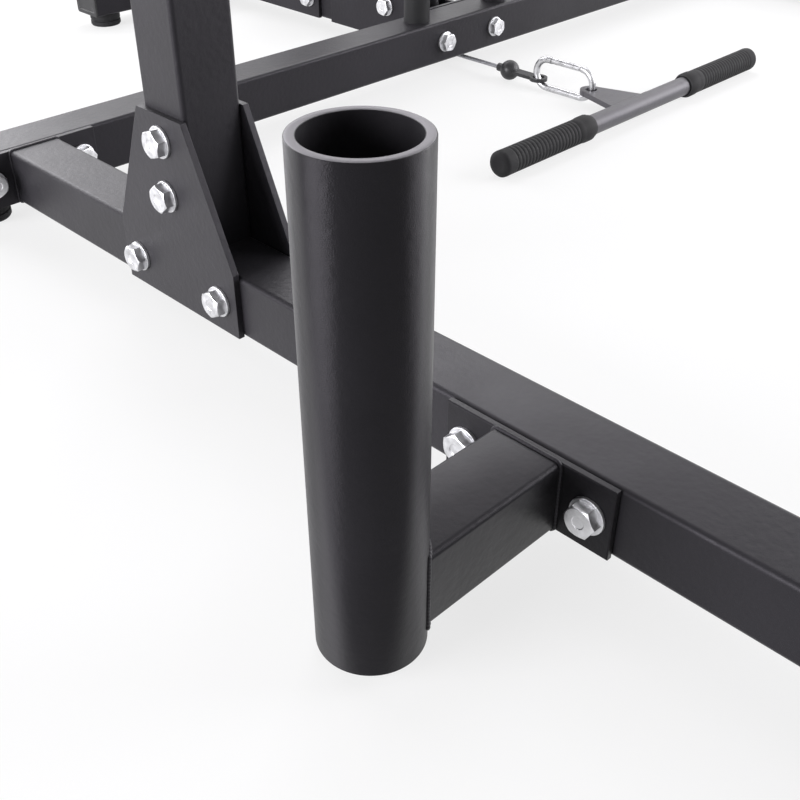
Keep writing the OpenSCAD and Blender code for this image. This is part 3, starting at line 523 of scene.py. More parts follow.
def swept(path, step, closed, sides, radius):
    """Tube along a path, its radius a function of the way along and of the angle round it."""
    points, step = sampled(path, step, closed)
    loops = []
    for i, (p, (u, v)) in enumerate(zip(points, frames_along(points, closed))):
        angles = [tau * k / sides for k in range(sides)]
        loops.append([p + (u * cos(a) + v * sin(a)) * radius(i * step, a)
                      for a in angles])
    if closed:
        loops.append(loops[0])
    return skin(loops, closed_ends=not closed)


def weld_bead(path, size, ripple, closed):
    """Rippled bead of weld metal along a path."""
    def radius(way, _):
        phase = tau * way / ripple
        return size * (1.0 + 0.07 * sin(phase) + 0.05 * sin(0.137 * phase + 1.3))

    return swept(path, ripple / 5, closed, 8, radius)


def rope(path, size, strands, lay, step=0.003):
    """Round rope whose strands wind along a path."""
    def radius(way, a):
        return size * (0.955 + 0.045 * cos(strands * (a - tau * way / lay)))

    return swept(path, step, False, strands * 4, radius)


def piece(name, form, body, finish, crease=35.0):
    """One object in the row frame that rides on a body."""
    mesh = bpy.data.meshes.new(name)
    mesh.from_pydata([tuple(p) for p in form[0]], [], form[1])
    mesh.validate()
    mesh.update()
    mesh.polygons.foreach_set("use_smooth", [True] * len(mesh.polygons))
    mesh.set_sharp_from_angle(angle=radians(crease))
    thing = bpy.data.objects.new(name, mesh)
    bpy.context.scene.collection.objects.link(thing)
    mesh.materials.append(FINISH[finish])
    if body is not None:
        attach(thing, body)
    return thing


def paint(node, finish):
    """Another finish on a CAD piece, whose shape stays."""
    thing = NODES[node]
    if not thing.material_slots:
        thing.data.materials.append(FINISH[finish])
    for place in thing.material_slots:
        place.material = FINISH[finish]


def turned(x=0.0, y=0.0, z=0.0):
    """Turn by degrees about X, then Y, then Z."""
    return (Matrix.Rotation(radians(z), 4, "Z") @ Matrix.Rotation(radians(y), 4, "Y")
            @ Matrix.Rotation(radians(x), 4, "X"))


def at(x, y, z, turn=None):
    place = Matrix.Translation((x, y, z))
    return place @ turn if turn is not None else place


MIRROR_X = Matrix.Scale(-1, 4, (1, 0, 0))
MIRROR_Z = Matrix.Scale(-1, 4, (0, 0, 1))
OUT_LEFT = turned(0, -90, 0)
OUT_RIGHT = turned(0, 90, 0)
UP_LEFT = turned(90, 0, -90)
UP_RIGHT = turned(90, 0, 90)
UP_FRONT = turned(90, 0, 0)
UP_REAR = turned(-90, 0, 0)
FLAT_FRONT = turned(90, 90, 0)
FLAT_REAR = turned(-90, 90, 0)


# Finishes

# Words in the names of the CAD pieces, and the finish that such a piece gets
PAINTS = (
    ("gusset_plates", "plate"), ("bolts", "bolt"), ("nuts", "bolt"), ("axle", "bolt"),
    ("guide_rod", "rod"), ("snap", "hook"), ("safety_pin", "pin"), ("rod_bumpers", "rubber"),
    ("rubber_feet", "rubber"), ("end_caps", "cap"), ("grips", "grip"), ("stopper", "stopper"),
    ("_pulley", "pulley"), ("bushes", "bush"), ("cable", "cable"),
    ("carriage_frame", "carriage"), ("row_bar", "bar"),
)
DRAWN = 0.9


class RACK_OT_finishes(bpy.types.Operator):
    """Make the finishes of the rack and put them on the pieces that keep their shape"""

    bl_idname = "rack.finishes"
    bl_label = "Finishes"

    def execute(self, context):
        scene = context.scene
        self.coats(scene.rack_coat)
        plating = tuple(scene.rack_fasteners.plating)
        for key, name, factor, low, high in (("bolt", "bright_zinc", 1.0, 0.32, 0.48),
                                             ("hook", "bright_zinc_hook", 0.82, 0.24, 0.38),
                                             ("pin", "bright_zinc_pin", 0.80, 0.28, 0.42)):
            FINISH[key] = plated_steel(name, shade_of(plating, factor), low, high)
        FINISH["rod"] = polished_rod("hard_chrome")
        FINISH["grip"] = soft_rubber("grip_rubber", tuple(scene.rack_grips.color))
        FINISH["rubber"] = soft_rubber("black_rubber", (0.015, 0.015, 0.016), 0.66)
        for key, name, color, roughness in (
                ("cap", "black_cap_plastic", (0.017, 0.017, 0.018), 0.50),
                ("stopper", "stopper_plastic", (0.022, 0.022, 0.024), 0.42),
                ("pulley", "pulley_nylon", (0.042, 0.042, 0.045), 0.44),
                ("bush", "bush_nylon", (0.10, 0.10, 0.10), 0.50)):
            FINISH[key] = moulded_plastic(name, color, roughness)
        FINISH["cable"] = jacketed_rope("rope_in_jacket", tuple(scene.rack_cable.color))
        for node in NODES:
            paint(node, next((finish for word, finish in PAINTS if word in node), "frame"))
        return {"FINISHED"}

    def coats(self, coat):
        """Powder coats, most of them a shade of the frame's."""
        color, rough, gloss = tuple(coat.color), coat.roughness, coat.gloss
        peel, grain = coat.peel, coat.grain
        # The holders' coat is a darker copy of the frame's: painted shade that darkens the middle
        # of the pipes.
        pipe_shaded_color, pipe_gloss = shade_of(color, 0.62), gloss * 0.8
        for key, name, values in (
                ("frame", "satin_black_frame", (color, rough, gloss, peel, grain)),
                ("plate", "satin_black_plate",
                 (shade_of(color, 1.15), rough - 0.02, gloss, peel, grain, 0.0009)),
                ("carriage", "satin_black_carriage", (color, rough + 0.02, gloss, peel, grain)),
                ("holder", "satin_black_holder",
                 (pipe_shaded_color, rough, pipe_gloss, peel, grain, 0.0004, 0.36)),
                ("drawn_pipe", "satin_black_drawn_pipe",
                 (pipe_shaded_color, rough, pipe_gloss, peel * 0.7, grain, 0.0004, 0.36, DRAWN)),
                # The bores' coat is a darker, duller copy of the frame's: painted shade inside the
                # pipes.
                ("bore", "thin_coat_in_bore",
                 (shade_of(color, 0.7), 0.70, 0.08, peel, grain, 0.0003, 0.04)),
                ("cut_steel", "sawn_pipe_end", (tuple(coat.ring), 0.58, 0.15, 0.10, 0.45, 0.0002)),
                ("bar", "grey_bar_coat", ((0.062, 0.060, 0.066), 0.46, 0.40, 0.28, 0.35))):
            FINISH[key] = powder_coat(name, *values)


# Bar holders

HOLDER_RIM = 0.0006
BORE_REACH = 0.0002
# Material slots of the pipe's wall and of the painted shade in its bore
ON_WALL, SHADED_BORE = 1, 2
ROUND_STEPS = 160


class RACK_OT_bar_holders(bpy.types.Operator):
    """Open pipe, arm and bolted plate of both bar holders"""

    bl_idname = "rack.bar_holders"
    bl_label = "Bar holders"

    def execute(self, context):
        left = join_forms([self.pipe(), self.arm(), self.flange()])
        for name, way, form in (("left", -1, left), ("right", 1, moved(left, MIRROR_X))):
            holder = piece(f"{name}_holder_pipe_and_arm", form, "rack_frame", "holder")
            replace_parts(holder, f"{name}_bar_holder")
            self.paint_pipe(holder.data, way)
            ring = moved(self.cut_ring(), at(way * HOLDER_X, HOLDER_Y, 0))
            piece(f"{name}_holder_cut_ring", ring, "rack_frame", "cut_steel", 80.0)
        return {"FINISHED"}

    def paint_pipe(self, mesh, way):
        """The drawn tube's darker finish on the pipe's faces, and a darker, duller copy of the
        coat in its bore; both darkenings are painted shade.
        """
        mesh.materials.append(FINISH["drawn_pipe"])
        mesh.materials.append(FINISH["bore"])
        for face in mesh.polygons:
            out = hypot(face.center.x - way * HOLDER_X, face.center.y - HOLDER_Y)
            if out < HOLDER_R:
                face.material_index = SHADED_BORE if out < HOLDER_BORE_R + BORE_REACH else ON_WALL

    def cut_ring(self):
        """Flat end of the pipe, sawn and thinly coated, just above the coat of the wall."""
        ease, z = 0.0003, HOLDER_TOP
        inner, outer, top = HOLDER_BORE_R + ease, HOLDER_R - ease, z + 0.0001
        return lathe([(inner, z - ease), (inner + ease, top), (outer - ease, top),
                      (outer, z - ease)], ROUND_STEPS)

    def pipe(self):
        rim, bore, wall = HOLDER_RIM, HOLDER_BORE_R, HOLDER_R
        low, high, shoulder = HOLDER_LOW, HOLDER_TOP, HOLDER_TOP - 0.25 * HOLDER_RIM
        profile = [
            (bore, low + rim), (bore + rim, low), (wall - rim, low), (wall, low + rim),
            (wall, high - rim), (wall - 0.3 * rim, shoulder), (wall - rim, high),
            (bore + rim, high), (bore + 0.3 * rim, shoulder), (bore, high - rim),
            (bore, low + rim),
        ]
        return moved(lathe(profile, ROUND_STEPS), at(-HOLDER_X, HOLDER_Y, 0))

    def arm(self):
        """Square tube that starts inside the pipe's wall."""
        inside, far_x = HOLDER_R - 0.0012, -RACK_X - PLATE + 0.0005
        section = rounded_square(TUBE, CORNER)
        return skin([[(x, HOLDER_Y + y, RAIL_Z + z) for x, y, z in points] for points in (
            [(-HOLDER_X + sqrt(inside ** 2 - y * y), y, z) for y, z in section],
            [(far_x, y, z) for y, z in section])])

    def flange(self):
        """Plate with eased edges between the arm and the rail."""
        edge, loops = 0.0007, []
        for inset, z in ((edge, 0.0), (0.0, edge), (0.0, PLATE - edge), (edge, PLATE)):
            x, y = PLATE_LENGTH / 2 - inset, HALF - inset
            loops.append([(x, y, z), (-x, y, z), (-x, -y, z), (x, -y, z)])
        return moved(skin(loops), at(-RACK_X - PLATE, HOLDER_Y, RAIL_Z, UP_RIGHT))


# Welds

LIFT = 0.0006
BEAD_CREASE = 80.0
PULL_UP_R = 0.0172
SOCKET_R = 0.0178
SLEEVE_R = 0.0229
EYE_REACH = 0.031
LOW_PLATES_Y = 0.5740
SHELF_Z = 1.300


def square_weld(place, grow=0.0004):
    """Path round a square tube, in the XY plane of the place."""
    outline = rounded_square(TUBE + 2 * grow, CORNER + grow, 4)
    return [place @ Vector((x, y, 0.0)) for x, y in outline]


def round_weld(place, radius, count=48):
    """Path round a round tube, in the XY plane of the place."""
    return [place @ Vector(point) for point in circle(radius, count)]


def line(x, y, z, dx=0.0, dy=0.0, dz=0.0):
    """Straight path with its middle at a point."""
    return [(x - dx, y - dy, z - dz), (x + dx, y + dy, z + dz)]


class RACK_OT_welds(bpy.types.Operator):
    """Weld beads where tubes, plates and lugs meet"""

    bl_idname = "rack.welds"
    bl_label = "Welds"

    def execute(self, context):
        self.bead = context.scene.rack_welds.bead
        self.ripple = context.scene.rack_welds.ripple
        self.frame_welds()
        self.carriage_welds()
        self.handle_welds()
        self.hook_welds()
        return {"FINISHED"}

    def beads(self, name, loops, rows, scale, body, finish, slot):
        """Closed beads of full size and open ones of a smaller size, as one piece."""
        forms = [weld_bead(path, self.bead, self.ripple, True) for path in loops]
        forms += [weld_bead(path, self.bead * scale, self.ripple, False) for path in rows]
        piece(name, join_forms(forms), body, finish, BEAD_CREASE)

    def frame_welds(self):
        loops, rows = [], []
        for side in (-1, 1):
            plate_x = side * (INNER_X - PLATE - LIFT)
            loops += [
                square_weld(at(side * (RACK_X + PLATE + LIFT), HOLDER_Y, RAIL_Z, OUT_RIGHT)),
                self.saddle(side),
                square_weld(at(side * SIDE_X, CROSS_FRONT_Y - PLATE - LIFT, RAIL_Z, UP_FRONT)),
                square_weld(at(side * SIDE_X, FRONT_Y + HALF + PLATE + LIFT, SIDE_BEAM_Z,
                               UP_FRONT)),
                square_weld(at(side * SIDE_X, REAR_Y - HALF - PLATE - LIFT, SIDE_BEAM_Z,
                               UP_FRONT)),
                square_weld(at(plate_x, REAR_Y, CROSS_BEAM_Z, OUT_RIGHT)),
                round_weld(at(plate_x, FRONT_Y, CROSS_BEAM_Z, OUT_RIGHT), PULL_UP_R),
                round_weld(at(side * ROD_X, CROSS_Y, BEAM_BOTTOM - 0.0086), SOCKET_R),
            ]
            x, edge = side * (HALF + PLATE + LIFT * 0.5), side * HALF
            for y in (FRONT_PULLEY_Y, REAR_PULLEY_Y, RETURN_Y):
                rows += [line(x, y - 0.0175, BEAM_BOTTOM + 0.0002, dy=0.0095),
                         line(x, y + 0.0175, BEAM_BOTTOM + 0.0002, dy=0.0095),
                         line(edge, y, BEAM_TOP - 0.005, dy=0.026)]
            rows += [line(x, REAR_Y, CROSS_BEAM_Z + HALF, dy=0.022),
                     line(edge, LOW_PLATES_Y, FLOOR_GAP + 0.004, dy=0.022),
                     line(edge, LOW_PLATES_Y, DECK_Z - 0.004, dy=0.022)]
        loops.append(square_weld(at(0, REAR_END - TUBE - PLATE - LIFT, RAIL_Z, UP_FRONT)))
        self.beads("frame_weld_beads", loops, rows, 0.85, "rack_frame", "frame", "frame_black")

    def saddle(self, side):
        """Path where the holder's arm meets the pipe."""
        reach = HALF + 0.0004
        radius = HOLDER_R + 0.0004
        limit = asin(reach / radius)
        path = []
        for way in (1, -1):
            for k in range(17):
                a = way * limit * (k / 8 - 1)
                path.append(Vector((side * (HOLDER_X - radius * cos(a)),
                                    HOLDER_Y + radius * sin(a), RAIL_Z + way * reach)))
        return path

    def carriage_welds(self):
        loops, rows = [], []
        radius = SLEEVE_R
        for side in (-1, 1):
            loops.append(round_weld(at(side * (STOP_X + STOP_T + LIFT), CROSS_Y, HORN_Z,
                                       OUT_RIGHT), HORN_R + 0.0004, 64))
            rows += [[(side * (ROD_X - radius * cos(a)), CROSS_Y + radius * sin(a), z)
                      for a in (pi * (k / 24 - 0.5) for k in range(25))]
                     for z in (HORN_Z - HALF - 0.0004, HORN_Z + HALF + 0.0004)]
            rows += [line(side * (ROD_X + 0.0006), y, HORN_Z, dz=HALF - 0.002)
                     for y in (CROSS_Y - radius, CROSS_Y + radius)]
            rows += [line(side * x, CROSS_Y, HORN_Z + HALF, dy=0.022) for x in (0.0130, 0.0180)]
        self.beads("carriage_weld_beads", loops, rows, 0.75, "carriage", "carriage",
                   "carriage_black")

    def handle_welds(self):
        rows = [line(0, ROW_Y + 0.0090, ROW_Z + way * 0.0063, dx=EYE_REACH)
                for way in (-1, 1)]
        self.beads("row_eye_weld_beads", [], rows, 0.8, "row_handle", "bar", "bar_grey")
        rows = [line(0, LAT_Y + way * 0.0068, BAR_Z + 0.0125, dx=EYE_REACH)
                for way in (-1, 1)]
        self.beads("lat_eye_weld_beads", [], rows, 0.8, "lat_handle", "frame", "frame_black")

    def hook_welds(self):
        back = FRONT_Y - HALF - 0.0065
        for side, body in ((-1, "left_hook"), (1, "right_hook")):
            x = side * SIDE_X
            rows = [line(x, back - 0.0004, SHELF_Z + 0.0084, dx=0.027)]
            rows += [line(x + way * 0.0034, back - 0.001, SHELF_Z - 0.0165, dz=0.0145)
                     for way in (-1, 1)]
            self.beads(f"{body}_weld_beads", [], rows, 0.75, body, "frame", "frame_black")


# Fasteners

WASHER_T = 0.0025
HEAD_H = 0.0075
NUT_H = 0.010
TAIL = 0.003
SPACER_START = 0.0115
HEX_POINTS = 48
HEAD_DISH_R = 0.0042
BOLT_CREASE = 25.0
PLATE_GRIP = TUBE + PLATE
GUSSET_GRIP = TUBE + 2 * PLATE


def hexagon_rings(flats, low, high, hole):
    """Hexagon bar piece with turned corners at its high end, as rings of points."""
    turned_r = flats / 2 - 0.0003
    slope = tan(radians(30))
    bottom, top = [], []
    for k in range(HEX_POINTS):
        a = tau * k / HEX_POINTS
        r = flats / 2 / cos((a + pi / 6) % (pi / 3) - pi / 6)
        bottom.append((r * cos(a), r * sin(a), low))
        top.append((r * cos(a), r * sin(a), high - (r - turned_r) * slope))
    return [circle(hole, HEX_POINTS, low), bottom, top, circle(turned_r, HEX_POINTS, high),
            circle(hole, HEX_POINTS, high)]


def washer_form(outer, inner, low, high):
    """Flat ring with eased outer edges."""
    ease = 0.0003
    return lathe([(inner, low), (outer - ease, low), (outer, low + ease), (outer, high - ease),
                  (outer - ease, high), (inner, high)], 48)


def thread_form(radius, high, pitch=0.00175):
    """Turned thread from z = 0 up to its free end."""
    profile = [(radius, 0.0)]
    z = 0.0
    while z + pitch < high - 0.0006:
        profile += [(radius, z + pitch * 0.25), (radius - 0.0008, z + pitch * 0.60),
                    (radius, z + pitch * 0.95)]
        z += pitch
    profile += [(radius, high - 0.0007), (radius - 0.0009, high), (0.0, high)]
    return lathe(profile, 32)


class RACK_OT_fasteners(bpy.types.Operator):
    """Hexagon bolts with washers, nuts and threads, and the pulley axles"""

    bl_idname = "rack.fasteners"
    bl_label = "Fasteners"

    def execute(self, context):
        sizes = context.scene.rack_fasteners
        self.thread_r = sizes.thread / 2
        self.flats = sizes.flats
        self.washer_r = sizes.washer / 2
        gussets = [(place, GUSSET_GRIP) for place in self.gusset_places()]
        plates = [(place, PLATE_GRIP) for place in self.plate_places()]
        plates.append((at(-GUSSET_GRIP / 2, REAR_Y, BEAM_Z, OUT_LEFT), GUSSET_GRIP))
        self.set_of("gusset_bolt", gussets, "gusset_bolts", "gusset_nuts")
        self.set_of("plate_bolt", plates, "plate_bolts", "plate_nuts")
        self.axles()
        return {"FINISHED"}

    def plate_places(self):
        pairs = (
            (RACK_X + PLATE, HOLDER_Y, RAIL_Z, OUT_LEFT, OUT_RIGHT),
            (SIDE_X, CROSS_FRONT_Y - PLATE, RAIL_Z, FLAT_FRONT, FLAT_FRONT),
            (SIDE_X, FRONT_Y - HALF, SIDE_BEAM_Z, UP_FRONT, UP_FRONT),
            (SIDE_X, REAR_Y + HALF, SIDE_BEAM_Z, UP_REAR, UP_REAR),
            (RACK_X, REAR_Y, CROSS_BEAM_Z, UP_LEFT, UP_RIGHT),
            (RACK_X, FRONT_Y, CROSS_BEAM_Z, UP_LEFT, UP_RIGHT),
        )
        joints = [at(side * x, y, z, turn) for x, y, z, *turns in pairs
                  for side, turn in zip((-1, 1), turns)]
        joints[4:4] = [at(0, CROSS_FRONT_Y, RAIL_Z, FLAT_FRONT),
                       at(0, REAR_END, RAIL_Z, FLAT_REAR)]
        return [joint @ Matrix.Translation((0, side * BOLTS_APART / 2, 0))
                for joint in joints for side in (-1, 1)]

    def gusset_places(self):
        spots = ((-0.052, HALF), (0.052, HALF), (0.0, 0.093), (0.0, 0.135))
        posts = ((-SIDE_X, FRONT_Y, -1), (-SIDE_X, REAR_Y, -1), (SIDE_X, FRONT_Y, 1),
                 (SIDE_X, REAR_Y, 1), (0.0, POST_Y, -1))
        places = [at(x + way * GUSSET_GRIP / 2, y + dy, FLOOR_GAP + dz, turned(0, way * 90, 0))
                  for x, y, way in posts for dy, dz in spots]
        places += [at(-GUSSET_GRIP / 2, POST_Y + dy, BEAM_TOP - dz, OUT_LEFT)
                   for dy, dz in spots]
        return places

    def head(self, index):
        rings = hexagon_rings(self.flats, WASHER_T, WASHER_T + HEAD_H, HEAD_DISH_R)
        rings.append([(x * 0.9, y * 0.9, z - 0.0004) for x, y, z in rings[-1]])
        top = moved(skin(rings), turned(0, 0, (index * 37) % 60))
        return join_forms([washer_form(self.washer_r, self.thread_r, 0.0, WASHER_T), top])

    def nut(self, grip, index):
        """Nut below the grip, its turned corners away from it."""
        rings = hexagon_rings(self.flats, WASHER_T, WASHER_T + NUT_H, self.thread_r)
        body = moved(skin(rings, False), turned(0, 0, (index * 23 + 11) % 60))
        washer = washer_form(self.washer_r, self.thread_r, 0.0, WASHER_T)
        return moved(join_forms([washer, body]), at(0, 0, -grip, MIRROR_Z))

    def tail(self, grip):
        return moved(thread_form(self.thread_r, NUT_H + TAIL),
                     at(0, 0, -grip - WASHER_T, turned(180, 0, 0)))

    def set_of(self, name, places, bolt_node, nut_node):
        heads, nuts = [], []
        for index, (place, grip) in enumerate(places):
            heads += [moved(self.head(index), place), moved(self.tail(grip), place)]
            nuts.append(moved(self.nut(grip, index), place))
        for label, forms, node in (("heads_and_threads", heads, bolt_node),
                                   ("nuts", nuts, nut_node)):
            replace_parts(self.zinc(f"{name}_{label}", forms, "rack_frame"), node)

    def zinc(self, name, forms, body):
        return piece(name, join_forms(forms), body, "bolt", BOLT_CREASE)

    def axle(self, place, grip, head_index, nut_index):
        """Bolt from plate to plate, its middle on the place, with its nut and its shank."""
        outer = place @ Matrix.Translation((0, 0, grip / 2))
        r = self.thread_r - 0.0001
        forms = [self.head(head_index), self.nut(grip, nut_index), self.tail(grip),
                 lathe([(r, -grip), (r, 0.0)], 24)]
        return [moved(form, outer) for form in forms]

    def axles(self):
        forms = []
        places = [at(0, y, PULLEY_Z, OUT_LEFT) for y in (FRONT_PULLEY_Y, REAR_PULLEY_Y, RETURN_Y)]
        places.append(at(0, RETURN_Y, LOW_Z, OUT_LEFT))
        for index, place in enumerate(places):
            forms += self.axle(place, GUSSET_GRIP, index, index)
            forms += [moved(washer_form(self.thread_r + 0.003, self.thread_r - 0.0005, low, high),
                            place)
                      for low, high in ((SPACER_START, HALF), (-HALF, -SPACER_START))]
        some = self.zinc("pulley_axle_bolts", forms, "rack_frame")
        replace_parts(some, "pulley_axles")
        forms = self.axle(at(0, CROSS_Y, CARRIAGE_PULLEY_Z, OUT_LEFT),
                          2 * (PULLEY_W / 2 + 0.002 + PLATE), 1, 2)
        some = self.zinc("carriage_axle_bolt", forms, "carriage")
        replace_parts(some, "carriage_axle")


# Caps and feet

RAIL_FRONT = FRONT_Y - 0.196
BEAM_REAR = POST_Y + 0.072


class RACK_OT_caps_and_feet(bpy.types.Operator):
    """Plastic caps on the tube ends and rubber feet under the rails"""

    bl_idname = "rack.caps_and_feet"
    bl_label = "Caps and feet"

    def execute(self, context):
        places = []
        for side, out in ((-1, OUT_LEFT), (1, OUT_RIGHT)):
            places += [at(side * SIDE_X, RAIL_FRONT, RAIL_Z, UP_FRONT),
                       at(side * CROSS_HALF, CROSS_Y, RAIL_Z, out),
                       at(side * FOOT_HALF, REAR_END - HALF, RAIL_Z, out),
                       at(side * SIDE_X, FRONT_Y, UPRIGHT_TOP),
                       at(side * SIDE_X, REAR_Y, UPRIGHT_TOP)]
        places += [at(0, FRONT_PULLEY_Y - RIM_R, BEAM_Z, UP_FRONT),
                   at(0, BEAM_REAR, BEAM_Z, UP_REAR)]
        caps = piece("tube_end_caps", join_forms([moved(self.cap(), p) for p in places]),
                     "rack_frame", "cap", 30.0)
        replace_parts(caps, "end_caps")
        rows = ((SIDE_X, RAIL_FRONT + TUBE), (CROSS_HALF - HALF, CROSS_Y),
                (FOOT_HALF - HALF, REAR_END - HALF))
        spots = [(side * x, y) for x, y in rows for side in (-1, 1)]
        feet = piece("rail_feet", join_forms([moved(self.foot(), at(x, y, 0)) for x, y in spots]),
                     "rack_frame", "rubber", 30.0)
        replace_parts(feet, "rubber_feet")
        return {"FINISHED"}

    def cap(self):
        """Flange with an eased edge and a shallow dished face."""
        rings = [(0.010, 0.0015, 0.0)]
        rings += [(inset, CORNER, z) for inset, z in (
            (0.0006, 0.0), (0.0, 0.0006), (0.0, 0.0020), (0.0006, 0.0027), (0.0020, 0.0030),
            (0.0100, 0.0030), (0.0120, 0.0022), (0.0300, 0.0020))]
        return skin([[(x, y, z) for x, y in rounded_square(TUBE - inset, radius, 5)]
                     for inset, radius, z in rings])

    def foot(self):
        """Round foot with a grip groove and a recessed screw."""
        r = 0.021
        top = FLOOR_GAP
        return lathe([
            (0.0, 0.004), (0.0075, 0.004), (0.0085, 0.0), (r - 0.0035, 0.0), (r - 0.0012, 0.0007),
            (r, 0.0025), (r, 0.0070), (r - 0.0012, 0.0078), (r - 0.0012, 0.0092), (r, 0.0100),
            (r, top - 0.0012), (r - 0.0008, top), (0.0, top),
        ], 48)


# Grips

# Length, outer diameter and bore of a grip
ROW_GRIP = (0.152, 0.029, 2 * ROW_R)
LAT_GRIP = (0.165, 0.036, 0.028)


def grip_form(length, outer, inner, pitch, depth):
    """Ribbed grip with its closed end at z = 0 and a flared collar at its open end."""
    r = outer / 2
    body_r = r - 0.0007
    profile = [(0.0, 0.0010), (0.006, 0.0006), (r * 0.55, 0.0), (r - 0.0048, 0.0003),
               (r - 0.0022, 0.0012), (r - 0.0008, 0.0030), (body_r + 0.0002, 0.0056)]
    z = 0.016
    collar = length - 0.020
    profile.append((body_r, z - 0.002))
    while z + pitch < collar - 0.004:
        profile += [(body_r, z), (body_r - depth, z + pitch * 0.14),
                    (body_r - depth, z + pitch * 0.24), (body_r, z + pitch * 0.38)]
        z += pitch
    profile += [(body_r, collar - 0.002), (body_r + 0.0001, collar), (r - 0.0001, collar + 0.004),
                (r, collar + 0.0065), (r, length - 0.0055), (r - 0.0010, length - 0.0035),
                (inner / 2 + 0.0018, length - 0.0003), (inner / 2 + 0.0009, length),
                (inner / 2 + 0.0002, length - 0.0006), (inner / 2 + 0.0001, length - 0.012)]
    return lathe(profile, 64)


class RACK_OT_handles(bpy.types.Operator):
    """Ribbed rubber grips of the row bar and the lat bar"""

    bl_idname = "rack.handles"
    bl_label = "Handles"

    def execute(self, context):
        grips = context.scene.rack_grips
        pitch, depth = grips.rib_pitch, grips.rib_depth
        form = grip_form(*ROW_GRIP, pitch, depth)
        sides = [moved(form, at(side * ROW_HALF, ROW_Y, ROW_Z, turned(0, -side * 90, 0)))
                 for side in (-1, 1)]
        row = piece("row_bar_grips", join_forms(sides), "row_handle", "grip", 40.0)
        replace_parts(row, "row_grips")
        self.lat_grips(pitch, depth)
        return {"FINISHED"}

    def lat_grips(self, pitch, depth):
        slope, bend, middle, end_x = 22.0, 0.060, 0.280, 0.510
        tilt = radians(slope)
        arm = (end_x - middle - bend * sin(tilt)) / cos(tilt)
        start = (at(middle, LAT_Y, BAR_Z - bend, turned(0, slope, 0))
                 @ at(0, 0, bend, turned(0, 90, 0)))
        form = grip_form(*LAT_GRIP, pitch, depth)
        right = moved(form, start @ at(0, 0, arm, turned(180, 0, 0)))
        left = moved(right, MIRROR_X)
        grips = piece("lat_bar_grips", join_forms([left, right]), "lat_handle", "grip",
                      40.0)
        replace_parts(grips, "lat_grips")


# Cable

FALL_STEP = 0.004
LEAD_STEP = 0.0015
ROPE_CREASE = 70.0


def arc_path(y, z, start, end, steps=36):
    """Points of an arc in the YZ plane, in degrees from +Y towards +Z."""
    points = []
    for k in range(steps + 1):
        a = radians(start + (end - start) * k / steps)
        points.append((0.0, y + GROOVE_R * cos(a), z + GROOVE_R * sin(a)))
    return points


class RACK_OT_cable(bpy.types.Operator):
    """Steel rope over the pulleys, its falls to the carriage and its leads to the handles"""

    bl_idname = "rack.cable"
    bl_label = "Cable"

    def execute(self, context):
        sizes = context.scene.rack_cable
        self.strands, self.lay = sizes.strands, sizes.lay
        top = arc_path(FRONT_PULLEY_Y, PULLEY_Z, 180, 90)
        top += arc_path(REAR_PULLEY_Y, PULLEY_Z, 90, 0)
        self.fixed("cable_over_top_pulleys", top, "rack_frame", "cable_top")
        back = arc_path(RETURN_Y, PULLEY_Z, 180, 0) + arc_path(RETURN_Y, LOW_Z, 0, -90)
        back.append((0.0, CROSS_FRONT_Y, CABLE_LOW_Z))
        self.fixed("cable_return_run", back, "rack_frame", "cable_return")
        loop = arc_path(CROSS_Y, CARRIAGE_PULLEY_Z, 180, 360)
        self.fixed("cable_carriage_loop", loop, "carriage", "cable_loop")
        low = CARRIAGE_PULLEY_Z + HANG_GAP
        for name, y in (("front", CROSS_Y - GROOVE_R), ("rear", CROSS_Y + GROOVE_R)):
            self.stretching(f"cable_{name}_run", (0, y, PULLEY_Z), (0, y, low), "carriage",
                            f"cable_{name}_fall", FALL_STEP)
        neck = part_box("cable_lat_lead")[0][2]
        self.stretching("cable_to_lat_bar", (0, LAT_Y, PULLEY_Z - HANG_GAP), (0, LAT_Y, neck),
                        "lat_handle", "cable_lat_lead", LEAD_STEP)
        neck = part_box("cable_row_lead")[0][1]
        self.stretching("cable_to_row_bar", (0, CROSS_FRONT_Y - HANG_GAP, CABLE_LOW_Z),
                        (0, neck, CABLE_LOW_Z), "row_handle", "cable_row_lead", LEAD_STEP)
        return {"FINISHED"}

    def fixed(self, name, path, body, node):
        run = piece(name, rope(path, CABLE_R, self.strands, self.lay), body, "cable",
                    ROPE_CREASE)
        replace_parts(run, node)

    def stretching(self, name, start, end, body, node, step):
        form = rope([start, end], CABLE_R, self.strands, self.lay, step)
        run = piece(name, form, None, "cable", ROPE_CREASE)
        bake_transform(run)
        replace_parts(run, node)


# Pulleys

